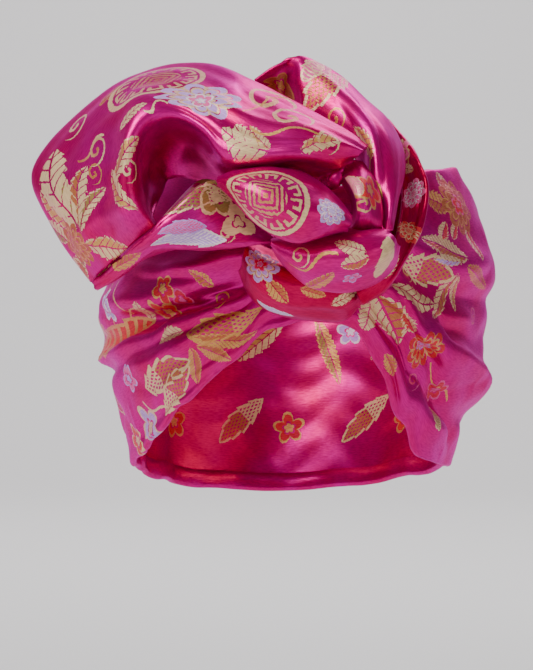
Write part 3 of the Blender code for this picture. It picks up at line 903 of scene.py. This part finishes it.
class Weave:
    """A value in a material's nodes."""

    def __init__(self, tree, socket):
        self.tree = tree
        self.socket = socket

    def node(self, kind, settings=None, inputs=None, output=0):
        """Any other node: its type, its settings, the values or links of its sockets, and which output to use."""
        made = self.tree.nodes.new(kind)
        for name, value in (settings or {}).items():
            if name == "stops":
                set_stops(made.color_ramp, value)
            else:
                setattr(made, name, value)
        for place, value in (inputs or {}).items():
            if isinstance(value, Weave):
                self.tree.links.new(value.socket, made.inputs[place])
            else:
                made.inputs[place].default_value = value
        return Weave(self.tree, made.outputs[output])

    def sum(self, operation, *values, clamp=False):
        """A Math node that works on this value first."""
        settings = {"operation": operation, "use_clamp": clamp}
        return self.node("ShaderNodeMath", settings, dict(enumerate((self,) + values)))

    def __add__(self, other):
        return self.sum("ADD", other)

    def __sub__(self, other):
        return self.sum("SUBTRACT", other)

    def __rsub__(self, other):
        return self.node("ShaderNodeMath", {"operation": "SUBTRACT"}, {0: other, 1: self})

    def __mul__(self, other):
        return self.sum("MULTIPLY", other)

    def __truediv__(self, other):
        return self.sum("DIVIDE", other)

    def __pow__(self, power):
        return self.sum("POWER", power)

    def __abs__(self):
        return self.sum("ABSOLUTE")

    def __lt__(self, other):
        return self.sum("LESS_THAN", other)

    def __gt__(self, other):
        return self.sum("GREATER_THAN", other)

    def sine(self):
        return self.sum("SINE")

    def fraction(self):
        return self.sum("FRACT")

    def parts(self):
        """The first two numbers of a vector."""
        split = self.node("ShaderNodeSeparateXYZ", None, {0: self})
        return split, Weave(self.tree, split.socket.node.outputs[1])

    def far(self, other):
        """How far a point is from the middle, when this and another value are its two places."""
        return (self * self + other * other).sum("SQRT")

    def on_line(self, scale, other, other_scale, start):
        """A sum of two places, each with its scale, and a start."""
        return self.sum("MULTIPLY_ADD", scale, other.sum("MULTIPLY_ADD", other_scale, start))

    def blend(self, other, share):
        """This colour, with a share of another laid over it."""
        return self.node("ShaderNodeMix", {"data_type": "RGBA"}, {0: share, 6: self, 7: other}, 2)


# %% [markdown]
# ## Motifs
#
# The brocade carries old Chinese garden motifs: peonies, veined leaves, cloud scrolls, feathers, small blossoms
# and round key fret medallions. Each is drawn once, in its own little square of cloth, by a function that
# answers two questions for any point: is it in the motif, and how far is it from one thread colour to the other?

# %% Flowers
def peony(x, y, petals):
    """Rings of round petals with light outlines, and a thin line of the ground between the rings."""
    lobe = abs((y.sum("ARCTAN2", x) * (petals / 2)).sine())
    ring = x.far(y) / (lobe * 0.24 + 0.76)
    row = (ring * 2.6 - lobe * 0.3 + 0.4).fraction()
    return (ring < 1) * (row > 0.13), (row > 0.74).sum("MAXIMUM", lobe < 0.32)


def blossom(x, y, petals):
    """One ring of petals round a heart."""
    lobe = abs((y.sum("ARCTAN2", x) * (petals / 2)).sine())
    ring = x.far(y) / (lobe * 0.45 + 0.55)
    return (ring < 1) * (abs(ring - 0.38) > 0.06), abs(ring - 0.6) > 0.24


# %% Leaves and feathers
EDGE = 0.17


def leaf_outline(x, y, teeth):
    """Inside a leaf that goes from its stem at x = 0 to its tip at x = 1, and whether its edge is near."""
    width = (x.sum("ADD", 0.0, clamp=True) * math.pi).sine() ** 0.7 * (1 - (x * teeth).fraction() * 0.24)
    return abs(y) < width, abs(y) > width - EDGE


def leaf(x, y, veins, slant):
    """A leaf with a light half, a dark half, slanting veins, a midrib and a light edge."""
    inside, edge = leaf_outline(x, y, veins)
    vein = (x * veins - abs(y) * slant).fraction()
    return inside * (vein > 0.17) * (abs(y) > 0.06), edge.sum("MAXIMUM", y > 0)


def striped(x, y, stripes, slant):
    """A wing or feather whose stripes change from one thread to the other."""
    inside, edge = leaf_outline(x, y, 3)
    return inside, ((x * stripes - abs(y) * slant).fraction() > 0.62).sum("MAXIMUM", edge)


def scaled(x, y, rows, across):
    """A leaf filled with a fine net."""
    inside, edge = leaf_outline(x, y, 5)
    net = ((x * rows + y * across).fraction() < 0.4).sum("MAXIMUM", (x * rows - y * across).fraction() < 0.4)
    return inside * net.sum("MAXIMUM", edge), edge.sum("MAXIMUM", x > 0.6)


# %% Scrolls and stems
def scroll(x, y, turns):
    """A curled tendril that thins towards its outer end."""
    far = x.far(y)
    arm = (far * turns - y.sum("ARCTAN2", x) / (2 * math.pi)).fraction()
    return (far < 1) * (arm < 0.4 - far * 0.22), far


def stem(x, y, waves):
    """A thin waving stem."""
    off = abs(y - (x * (math.pi * waves)).sine())
    return (off < 0.3) * (abs(x - 0.5) < 0.5), x


# %% The key fret medallion
KEYS = 12


def medallion(x, y, lines):
    """A ring, a band of keys inside it, and nested squares in the middle."""
    far = x.far(y)
    ring = abs(far - 0.94) < 0.06
    depth = (far - 0.56) / 0.26
    cell = (y.sum("ARCTAN2", x) * (KEYS / (2 * math.pi))).fraction()
    post = cell < 0.2
    bar = (depth > 0.76) * (cell < 0.78)
    hook = (depth > 0.3) * (abs(cell - 0.68) < 0.1)
    keys = (abs(depth - 0.5) < 0.5) * post.sum("MAXIMUM", bar).sum("MAXIMUM", hook)
    square = (abs(x).sum("MAXIMUM", abs(y)) * lines).fraction()
    middle = (far < 0.48) * (square < 0.5)
    return ring.sum("MAXIMUM", keys).sum("MAXIMUM", middle), far


MOTIFS = {
    "peony": (peony, (9,)),
    "blossom": (blossom, (5,)),
    "cloud": (blossom, (3,)),
    "leaf": (leaf, (7, 1.3)),
    "blade": (leaf, (13, 2.2)),
    "wing": (striped, (9, 0.5)),
    "feather": (striped, (13, 4.0)),
    "shell": (striped, (8, -2.0)),
    "scaled": (scaled, (9, 3.5)),
    "scroll": (scroll, (1.35,)),
    "stem": (stem, (2,)),
    "medallion": (medallion, (9,)),
}
print("motifs:", ", ".join(sorted(MOTIFS)))

# %% [markdown]
# ## Where the motifs lie
#
# A row of the next table reads: this motif, on this sheet, from this pixel of the photograph to that one. For a
# round motif the two are its middle and its rim, for a leaf its stem and its tip, and wide is half its width in
# millimetres.

# %% Thread colours
THREADS = (
    ("name", "red", "green", "blue", "shine"),
    ("cream", 0.92, 0.66, 0.34, 0.45),
    ("gold", 0.82, 0.44, 0.12, 0.65),
    ("copper", 0.62, 0.19, 0.06, 0.60),
    ("olive", 0.40, 0.27, 0.07, 0.55),
    ("lilac", 0.58, 0.34, 0.80, 0.05),
    ("white", 0.92, 0.80, 0.88, 0.05),
    ("scarlet", 0.78, 0.015, 0.02, 0.05),
    ("rose", 0.90, 0.10, 0.34, 0.05),
)
COLOURS = {row["name"]: (row["red"], row["green"], row["blue"], row["shine"]) for row in rows_of(THREADS)}

# %% Thread pairs: a motif's body and its edge. A later pair lies over an earlier one.
PAIRS = (
    ("pale", "gold", "cream"),
    ("plain", "gold", "gold"),
    ("old", "olive", "gold"),
    ("aged", "olive", "cream"),
    ("bronze", "copper", "gold"),
    ("amber", "copper", "cream"),
    ("ivory", "cream", "cream"),
    ("berry", "scarlet", "cream"),
    ("ember", "scarlet", "gold"),
    ("dusk", "lilac", "cream"),
    ("frost", "lilac", "white"),
    ("brass", "copper", "gold"),
    ("poppy", "scarlet", "rose"),
    ("shell", "rose", "cream"),
    ("blush", "rose", "white"),
    ("heather", "rose", "lilac"),
)
PAIR_NUMBER = {name: number + 1 for number, (name, _, _) in enumerate(PAIRS)}
print("thread pairs: %d" % len(PAIRS))

# %% Motifs that the photograph shows
WOVEN_COLUMNS = ("kind", "px", "py", "to_px", "to_py", "wide", "threads")
WOVEN = {
    "head_band": (
        # The band, at the photograph's left
        ("blossom", 164, 288, 174, 283, 0, "ember"),
        ("blossom", 170, 313, 181, 309, 0, "ember"),
        ("cloud", 184, 296, 191, 292, 0, "poppy"),
        ("wing", 106, 352, 156, 322, 7.5, "ember"),
        ("leaf", 152, 324, 140, 300, 4.5, "ivory"),
        ("leaf", 112, 346, 98, 322, 3.5, "berry"),
        ("stem", 116, 326, 114, 284, 1.6, "pale"),
        ("stem", 132, 316, 120, 282, 1.6, "pale"),
        ("stem", 124, 330, 138, 306, 1.4, "pale"),
        ("scaled", 190, 335, 264, 308, 6.0, "bronze"),
        ("blade", 194, 338, 262, 334, 3.6, "bronze"),
        ("leaf", 186, 331, 163, 346, 3.0, "ivory"),
        ("scaled", 192, 360, 148, 388, 6.5, "amber"),
        ("scaled", 192, 366, 166, 416, 6.0, "amber"),
        ("stem", 146, 400, 172, 414, 2.0, "ivory"),
        ("blade", 194, 346, 200, 386, 3.4, "bronze"),
        ("blade", 198, 344, 240, 372, 3.6, "bronze"),
        ("blossom", 151, 428, 159, 424, 0, "dusk"),
        ("blossom", 138, 441, 143, 438, 0, "berry"),
        ("scroll", 222, 300, 231, 296, 0, "bronze"),
        ("leaf", 216, 284, 190, 270, 3.0, "bronze"),
        ("blossom", 132, 378, 138, 375, 0, "heather"),
        # The band, at the right
        ("peony", 456, 206, 456, 187, 0, "brass"),
        ("blossom", 456, 206, 456, 198, 0, "poppy"),
        ("leaf", 450, 196, 433, 172, 5.0, "amber"),
        ("leaf", 448, 210, 424, 196, 6.0, "bronze"),
        ("leaf", 446, 222, 440, 240, 3.4, "berry"),
        ("leaf", 456, 222, 452, 240, 3.0, "berry"),
        ("leaf", 467, 226, 478, 262, 4.4, "berry"),
        ("blade", 464, 260, 420, 238, 5.6, "amber"),
        ("leaf", 458, 262, 430, 258, 2.4, "dusk"),
        ("scaled", 452, 276, 398, 258, 7.5, "amber"),
        ("leaf", 388, 284, 432, 304, 5.0, "ivory"),
        ("leaf", 456, 272, 430, 320, 4.0, "amber"),
        ("leaf", 457, 274, 453, 312, 2.8, "pale"),
        ("blade", 462, 266, 486, 288, 4.0, "bronze"),
        ("scroll", 408, 272, 416, 268, 0, "pale"),
        ("leaf", 374, 292, 398, 342, 8.5, "amber"),
        ("leaf", 372, 296, 363, 330, 5.0, "ivory"),
        ("leaf", 360, 295, 334, 313, 4.2, "ivory"),
        ("peony", 426, 350, 424, 333, 0, "ember"),
        ("blossom", 426, 350, 433, 346, 0, "heather"),
        ("leaf", 414, 336, 404, 312, 4.0, "berry"),
        ("scroll", 408, 380, 416, 376, 0, "poppy"),
        ("blossom", 438, 393, 438, 383, 0, "poppy"),
        ("leaf", 386, 352, 392, 376, 2.8, "bronze"),
        ("feather", 424, 404, 436, 430, 3.4, "aged"),
        ("stem", 432, 366, 446, 400, 1.8, "plain"),
        ("scroll", 472, 318, 472, 309, 0, "poppy"),
    ),
    "big_loop": (
        # The big lobe
        ("medallion", 158, 80, 202, 84, 0, "amber"),
        ("peony", 204, 102, 244, 105, 13.0, "dusk"),
        ("blossom", 202, 103, 215, 105, 0, "blush"),
        ("leaf", 268, 152, 222, 130, 4.6, "ivory"),
        ("leaf", 256, 152, 236, 126, 4.2, "ivory"),
        ("leaf", 270, 150, 252, 128, 3.0, "pale"),
        ("scroll", 268, 100, 278, 95, 0, "pale"),
        ("scroll", 290, 118, 299, 113, 0, "pale"),
        ("stem", 242, 116, 300, 106, 1.8, "plain"),
        ("stem", 250, 128, 318, 136, 1.8, "plain"),
        ("scroll", 326, 142, 335, 138, 0, "pale"),
        ("leaf", 300, 152, 342, 142, 3.4, "pale"),
        ("leaf", 138, 210, 113, 170, 4.4, "pale"),
        ("leaf", 114, 184, 138, 136, 4.8, "pale"),
        ("scroll", 128, 170, 136, 166, 0, "ivory"),
        ("leaf", 122, 132, 148, 104, 3.6, "ivory"),
        ("stem", 144, 112, 168, 104, 2.0, "ivory"),
        ("scroll", 97, 150, 107, 145, 0, "amber"),
        ("scroll", 77, 126, 88, 120, 0, "ivory"),
        ("stem", 80, 162, 104, 134, 2.2, "amber"),
        ("scroll", 96, 173, 104, 169, 0, "bronze"),
        ("leaf", 80, 228, 57, 150, 9.5, "ivory"),
        ("leaf", 80, 224, 66, 178, 4.0, "aged"),
        ("leaf", 82, 228, 90, 166, 5.6, "amber"),
        ("leaf", 84, 232, 106, 186, 4.0, "aged"),
        ("leaf", 74, 232, 42, 192, 6.0, "pale"),
        ("leaf", 70, 242, 48, 222, 5.0, "aged"),
        ("peony", 79, 244, 80, 228, 0, "brass"),
        ("leaf", 86, 242, 130, 250, 5.6, "pale"),
        ("leaf", 84, 252, 118, 270, 5.2, "aged"),
        ("leaf", 76, 256, 94, 284, 5.6, "amber"),
        ("blossom", 112, 96, 121, 92, 0, "bronze"),
    ),
    "loop_lip": (
        # The fold in front of the lobe
        ("scaled", 162, 214, 246, 190, 5.0, "aged"),
        ("cloud", 176, 206, 187, 200, 0, "aged"),
        ("cloud", 214, 196, 226, 190, 0, "aged"),
        ("feather", 150, 244, 226, 240, 4.2, "frost"),
        ("feather", 158, 232, 206, 226, 3.0, "heather"),
        ("cloud", 238, 222, 249, 215, 0, "ivory"),
        ("scroll", 226, 234, 234, 230, 0, "ivory"),
        ("leaf", 112, 270, 142, 252, 2.8, "bronze"),
    ),
    "peak_fold": (
        # The peak
        ("scaled", 306, 112, 346, 82, 7.5, "amber"),
        ("wing", 304, 82, 324, 64, 4.5, "shell"),
        ("scroll", 336, 118, 345, 113, 0, "plain"),
        ("blossom", 282, 84, 291, 80, 0, "bronze"),
        ("feather", 290, 108, 272, 90, 2.6, "bronze"),
        ("leaf", 352, 126, 374, 158, 3.6, "pale"),
        ("stem", 372, 150, 382, 206, 1.8, "plain"),
    ),
    "outer_swirl": (
        # The swirls at the right
        ("blossom", 403, 152, 412, 146, 0, "shell"),
        ("peony", 414, 194, 426, 186, 0, "blush"),
        ("leaf", 398, 166, 414, 170, 2.4, "ivory"),
        ("peony", 408, 232, 418, 226, 0, "berry"),
        ("stem", 404, 144, 412, 172, 1.5, "plain"),
        ("leaf", 398, 252, 374, 280, 3.2, "ivory"),
    ),
    "inner_swirl": (
        ("feather", 346, 178, 362, 196, 2.6, "shell"),
        ("scroll", 364, 204, 371, 200, 0, "pale"),
        ("blossom", 370, 190, 377, 186, 0, "ember"),
    ),
    "centre_roll": (
        # The middle of the rosette
        ("medallion", 266, 196, 310, 200, 0, "amber"),
        ("peony", 331, 212, 331, 202, 0, "frost"),
    ),
    "bottom_roll": (
        ("scroll", 300, 256, 310, 251, 0, "pale"),
        ("stem", 290, 262, 338, 254, 2.0, "plain"),
        ("leaf", 366, 252, 334, 242, 3.4, "ivory"),
        ("leaf", 368, 256, 340, 264, 3.0, "amber"),
        ("shell", 376, 278, 388, 236, 5.6, "ivory"),
        ("leaf", 306, 284, 334, 270, 3.4, "bronze"),
        ("blossom", 352, 278, 361, 273, 0, "heather"),
    ),
    "knot_wrap": (
        ("peony", 260, 264, 274, 259, 0, "dusk"),
        ("blossom", 260, 264, 266, 261, 0, "poppy"),
        ("leaf", 266, 278, 288, 300, 3.4, "bronze"),
        ("feather", 258, 298, 294, 314, 2.4, "frost"),
        ("leaf", 330, 304, 358, 288, 3.0, "ivory"),
        ("leaf", 300, 288, 326, 296, 2.8, "bronze"),
    ),
}
print("motifs placed by pixel: %d" % sum(len(rows) for rows in WOVEN.values()))

# %% [markdown]
# The photograph doesn't show the back and the sides. The same cloth goes on there, so a handful of motifs repeats
# round the band, each given by its turn from the forehead and its share of the way down.

# %% Motifs that repeat round the band
REPEAT_FIRST = 98
REPEAT_STEP = 41
REPEATS = 5
REPEAT = (
    ("kind", "turn", "drop", "point_turn", "point_drop", "wide", "threads"),
    ("peony", 0, 0.30, 6, 0.24, 0, "berry"),
    ("leaf", 4, 0.44, 17, 0.58, 5.0, "pale"),
    ("scaled", 22, 0.86, 8, 0.70, 6.0, "amber"),
    ("blade", -5, 0.42, -15, 0.66, 4.5, "old"),
    ("scroll", 17, 0.24, 20, 0.20, 0, "pale"),
    ("blossom", 25, 0.48, 28, 0.44, 0, "frost"),
    ("blossom", -1, 0.80, 3, 0.76, 0, "ember"),
)


# %% [markdown]
# Loose motifs fill the parts of the other sheets that the camera doesn't see. They are given by shares along
# and across the sheet.

# %% Motifs on the hidden sides
LOOSE = (
    ("kind", "sheet", "along", "across", "to_along", "to_across", "wide", "threads"),
    ("leaf", "big_loop", 0.30, 0.86, 0.44, 0.90, 5.0, "pale"),
    ("peony", "big_loop", 0.52, 0.88, 0.56, 0.84, 0, "berry"),
    ("leaf", "big_loop", 0.62, 0.90, 0.74, 0.86, 5.0, "amber"),
    ("scroll", "big_loop", 0.84, 0.88, 0.87, 0.85, 0, "pale"),
    ("blossom", "peak_fold", 0.30, 0.30, 0.36, 0.30, 0, "shell"),
    ("leaf", "outer_swirl", 0.30, 0.80, 0.55, 0.84, 4.0, "pale"),
    ("blossom", "outer_swirl", 0.68, 0.80, 0.72, 0.76, 0, "berry"),
)


def placed_motifs(sheet):
    """The motifs of a sheet, and where each starts and points on the flat cloth."""
    found = []
    for row in rows_of((WOVEN_COLUMNS,) + WOVEN[sheet.name]):
        start = sheet.flat_at(row["px"], row["py"])
        found.append((row, start, sheet.between(start, sheet.flat_at(row["to_px"], row["to_py"]))))
    size = np.array([sheet.around, sheet.flat[0, -1, 1]])
    for row in rows_of(LOOSE):
        if row["sheet"] == sheet.name:
            start = size * (row["along"], row["across"])
            found.append((row, start, size * (row["to_along"], row["to_across"]) - start))
    if sheet.ring:
        for k in range(REPEATS):
            for row in rows_of(REPEAT):
                turn = REPEAT_FIRST + REPEAT_STEP * k
                start = size * ((turn + row["turn"]) / 360, row["drop"])
                tip = size * ((turn + row["point_turn"]) / 360, row["point_drop"])
                found.append((row, start, tip - start))
    return found


# %% [markdown]
# ## The satin
#
# Satin floats its threads, so it shines broadly and in its own colour: the ground is partly metallic, with a
# little sheen. The gold threads shine more. A fine uneven grain runs along the threads, in the colour, in the
# roughness and as a bump, and the bump is stronger where the motifs are raised. The deepest sheets get a darker
# crimson ground: painted shade.

# %% Weave the cloth's material
MAGENTA = (0.68, 0.0, 0.11, 1.0)
FUCHSIA = (0.72, 0.0, 0.30, 1.0)
# The next colour is painted shade: a darker, redder ground for the sheets that lie deepest in the rosette
CRIMSON_SHADE = (0.46, 0.0, 0.02, 1.0)
GROUNDS = {"magenta": (MAGENTA, FUCHSIA), "crimson": (CRIMSON_SHADE, MAGENTA)}
GROUND_SHINE = 0.75
SHADE = (0.42, 0.36, 0.34, 1.0)
GRAIN_SCALE = (350.0, 1900.0, 1.0)
DRIFT_SCALE = 38.0
WOBBLE_SCALE = 900.0
WOBBLE = 0.0007
THREAD_RISE = 0.0003
SATIN_ROUGH, GRAIN_ROUGH, THREAD_ROUGH = 0.30, 0.10, 0.08
# What is the same all over the cloth
FINISH = {
    "IOR": 1.45,
    "Specular IOR Level": 0.5,
    "Sheen Weight": 0.06,
    "Sheen Roughness": 0.35,
    "Sheen Tint": (1.0, 0.0, 1.0, 1.0),
    "Specular Tint": (1.0, 0.0, 1.0, 1.0),
}
BAND_PARTS = 3
PART_MARGIN = 0.006


def thread_stops():
    """The stops of a ramp that holds every thread pair in turn. A stop's alpha is the thread's shine."""
    stops = []
    for number, (_, first, second) in enumerate(PAIRS):
        stops.append(((number + 1.06) / (len(PAIRS) + 1), COLOURS[first]))
        stops.append(((number + 1.92) / (len(PAIRS) + 1), COLOURS[second]))
    return stops


def brocade(sheet, ground, part, parts):
    """The material of one part of a sheet: its satin ground and the motifs that reach into that part."""
    material = bpy.data.materials.new("%s_brocade_%d" % (sheet.name, part + 1))
    material.use_nodes = True
    tree = material.node_tree
    shader = tree.nodes["Principled BSDF"]
    start = Weave(tree, None)
    flat = start.node("ShaderNodeUVMap", {"uv_map": "flat_cloth"})
    stretched = start.node("ShaderNodeMapping", None, {"Vector": flat, "Scale": GRAIN_SCALE})
    grain = start.node("ShaderNodeTexNoise", {"noise_dimensions": "2D"},
                       {"Vector": stretched, "Scale": 1.0, "Detail": 1.0}, "Fac")
    slow = start.node("ShaderNodeTexNoise", {"noise_dimensions": "2D"},
                      {"Vector": flat, "Scale": DRIFT_SCALE, "Detail": 2.0}, "Fac")
    drift = start.node("ShaderNodeTexNoise", {"noise_dimensions": "2D"},
                       {"Vector": flat, "Scale": WOBBLE_SCALE, "Detail": 1.0}, "Color")
    nudge = start.node("ShaderNodeVectorMath", {"operation": "MULTIPLY_ADD"},
                       {0: drift, 1: (WOBBLE,) * 3, 2: flat})
    flat_x, flat_y = (place - WOBBLE / 2 for place in nudge.parts())
    first, second = GROUNDS[ground]
    colour = start.node("ShaderNodeMix", {"data_type": "RGBA"}, {0: slow * 1.6 - 0.3, 6: first, 7: second}, 2)
    woven = None
    for row, place, line in placed_motifs(sheet):
        draw, sizes = MOTIFS[row["kind"]]
        side, long = sheet.square_to(place + line / 2, line)
        if row["wide"]:
            side = side * row["wide"] / 1000 / long
        middle = np.array([sheet.around * (part + 0.5) / parts, place[1]])
        reach = abs(line[0]) + abs(side[0]) + PART_MARGIN
        if abs(sheet.between(middle, place)[0]) > sheet.around / parts / 2 + reach:
            continue
        (x_u, x_v), (y_u, y_v) = np.linalg.inv(np.stack([line, side], axis=1)).tolist()
        u, v = place.tolist()
        x = flat_x.on_line(x_u, flat_y, x_v, -(u * x_u + v * x_v))
        y = flat_y.on_line(y_v, flat_x, y_u, -(u * y_u + v * y_v))
        mask, tone = draw(x, y, *sizes)
        code = mask * (tone * 0.8 + (PAIR_NUMBER[row["threads"]] + 0.1))
        woven = code if woven is None else woven.sum("MAXIMUM", code)
    raised = woven > 0.5
    threads = woven.node("ShaderNodeValToRGB", {"stops": thread_stops()}, {0: woven / (len(PAIRS) + 1)})
    colour = colour.blend(threads, raised)
    shine = Weave(tree, threads.socket.node.outputs[1]) * raised
    colour = colour.blend(start.node("ShaderNodeMix", {"data_type": "RGBA", "blend_type": "MULTIPLY"},
                                     {0: 1.0, 6: colour, 7: SHADE}, 2), (grain - 0.35) * 0.8)
    tree.links.new(colour.socket, shader.inputs["Base Color"])
    satin = (1 - raised) * GROUND_SHINE
    tree.links.new((satin + shine).socket, shader.inputs["Metallic"])
    rough = grain * GRAIN_ROUGH + SATIN_ROUGH + raised * THREAD_ROUGH
    tree.links.new(rough.socket, shader.inputs["Roughness"])
    bump = start.node("ShaderNodeBump", None, {"Strength": raised * 0.5 + 0.16, "Distance": THREAD_RISE,
                                               "Height": grain}, "Normal")
    tree.links.new(bump.socket, shader.inputs["Normal"])
    for socket, value in FINISH.items():
        shader.inputs[socket].default_value = value
    print("%s: %d nodes" % (material.name, len(tree.nodes)))
    return material


# %% [markdown]
# ## Dress the frame
#
# Now every sheet is laid, made finer, creased, woven and put in the place of its solid. The cut sizes are those
# of the flat cloth in each fold, rounded to the nearest half centimetre.

# %% Cut sizes of the sheets
CUTS = (
    ("name", "wide", "long", "held"),
    ("head_band", 0.140, 0.590, "stretched"),
    ("knot_wrap", 0.050, 0.060, "folded"),
    ("outer_swirl", 0.035, 0.100, "folded"),
    ("peak_fold", 0.045, 0.115, "folded"),
    ("inner_swirl", 0.030, 0.045, "folded"),
    ("big_loop", 0.110, 0.180, "folded"),
    ("loop_lip", 0.060, 0.090, "folded"),
    ("bottom_roll", 0.050, 0.060, "folded"),
    ("centre_roll", 0.050, 0.065, "folded"),
)


# %% Lay and dress every sheet
def dress(name, grid, ground, seed, above, ring=False):
    """The finished sheet: fine, creased, draped once more over those under it, and woven."""
    points = fine_sheet(grid, BAND_FINE if ring else FINE, ring)
    sheet = Sheet(name, points, ring)
    normals = facing(points, ring)
    outwards = (normals * points)[..., :2].sum() if ring else -normals[..., 1].sum()
    lift = crease_lift(sheet) + waver(sheet, seed)
    points = points + np.sign(outwards) * normals * lift[..., None]
    if not ring:
        laid = drape([[Vector(p) for p in line] for line in points], above, rounds=2)
        points = np.array([[tuple(p) for p in line] for line in laid])
    above.append(tree_of([[Vector(p) for p in line] for line in points], ring))
    flat = sheet.flat
    if ring:
        points = turned_under(points, ring)
        flat = hem_places(sheet, points)
    piece = cloth_mesh(name + "_cloth", points, flat, sheet.around, ring)
    parts = BAND_PARTS if ring else 1
    for part in range(parts):
        piece.data.materials.append(brocade(sheet, ground, part, parts))
    if ring:
        share = flat[:, :-1, 0].ravel() / sheet.around
        piece.data.polygons.foreach_set("material_index", np.clip(share * parts, 0, parts - 1).astype(np.int32))
    give_wall(piece)
    print("%s: %.4f square metres of cloth" % (name, sum(face.area for face in piece.data.polygons) / 2))
    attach(piece, "root")
    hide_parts(name)
    ground + "_brocade"
    return piece


coarse_band = band_points(CELLS["head_band"])
under = [tree_of(coarse_band, True)]
fine_under = []
cloths = {"head_band": dress("head_band", coarse_band, "magenta", 1, fine_under, ring=True)}
for number, sheet_row in enumerate(rows_of(SHEETS)):
    sheet_name = sheet_row["name"]
    table_rows = rows_of(sheet_row["table"])
    if sheet_name == "big_loop":
        sections = [loop_section(row) for row in table_rows]
    else:
        sections = [fold_section(row, sheet_row["draw_top"], sheet_row["draw_low"]) for row in table_rows]
    laid_grid = drape(sheet_points(sections, CELLS[sheet_name]), under)
    under.append(tree_of(laid_grid, False))
    cloths[sheet_name] = dress(sheet_name, laid_grid, sheet_row["ground"], number + 2, fine_under)

for cut in rows_of(CUTS):
    others = [] if cut["name"] == "head_band" else ["head_band_cloth"]

# %% [markdown]
# ## A plain studio
#
# The wrap hangs where a head would hold it, over a plain pale floor that curves up behind it. One large soft
# light from the upper left and front makes the long highlights. Two weaker ones open the shadows at the right
# and at the back, and the wall has a wide light of its own.

# %% Floor and backdrop
FLOOR_AT = -0.26
FLOOR_WIDE = 5.0
FLOOR_DEEP = 4.0
WALL_TALL = 3.6
CURVE = 1.4
CURVE_STEPS = 12

outline = [(-FLOOR_DEEP, 0.0)]
for step in range(CURVE_STEPS + 1):
    bend = math.pi / 2 * step / CURVE_STEPS
    outline.append((FLOOR_DEEP - CURVE + CURVE * math.sin(bend), CURVE - CURVE * math.cos(bend)))
outline.append((FLOOR_DEEP, WALL_TALL))
floor_mesh = bpy.data.meshes.new("studio_floor")
floor_mesh.from_pydata([(side * FLOOR_WIDE, y, z + FLOOR_AT) for y, z in outline for side in (-1, 1)], [],
                       [(2 * k, 2 * k + 1, 2 * k + 3, 2 * k + 2) for k in range(len(outline) - 1)])
floor_mesh.shade_smooth()
studio_floor = bpy.data.objects.new("studio_floor", floor_mesh)
bpy.context.scene.collection.objects.link(studio_floor)
paper = bpy.data.materials.new("pale_paper")
paper.use_nodes = True
paper.node_tree.nodes["Principled BSDF"].inputs["Base Color"].default_value = (0.80, 0.78, 0.79, 1.0)
paper.node_tree.nodes["Principled BSDF"].inputs["Roughness"].default_value = 0.9
floor_mesh.materials.append(paper)

# %% Lights
LIGHTS = (
    ("name", "x", "y", "z", "aim_y", "aim_z", "size", "watts"),
    ("window", -0.70, -1.0, 0.95, -0.05, 0.0, 0.9, 26.0),
    ("fill", 1.1, -0.9, 0.25, -0.05, 0.0, 0.9, 2.5),
    ("back", 0.5, 0.9, 1.1, -0.05, 0.0, 0.7, 8.0),
    ("wall", 0.0, 1.4, 2.2, 4.0, 0.4, 2.0, 90.0),
)
for light in rows_of(LIGHTS):
    lamp_data = bpy.data.lights.new(light["name"], "AREA")
    lamp_data.size = light["size"]
    lamp_data.energy = light["watts"]
    lamp = bpy.data.objects.new(light["name"], lamp_data)
    bpy.context.scene.collection.objects.link(lamp)
    lamp.location = (light["x"], light["y"], light["z"])
    aim = Vector((0, light["aim_y"], light["aim_z"]))
    lamp.rotation_euler = (aim - lamp.location).to_track_quat("-Z", "Y").to_euler()

world = bpy.data.worlds.new("studio_air")
world.use_nodes = True
world.node_tree.nodes["Background"].inputs["Color"].default_value = (1.0, 0.97, 0.98, 1.0)
world.node_tree.nodes["Background"].inputs["Strength"].default_value = 0.20
bpy.context.scene.world = world
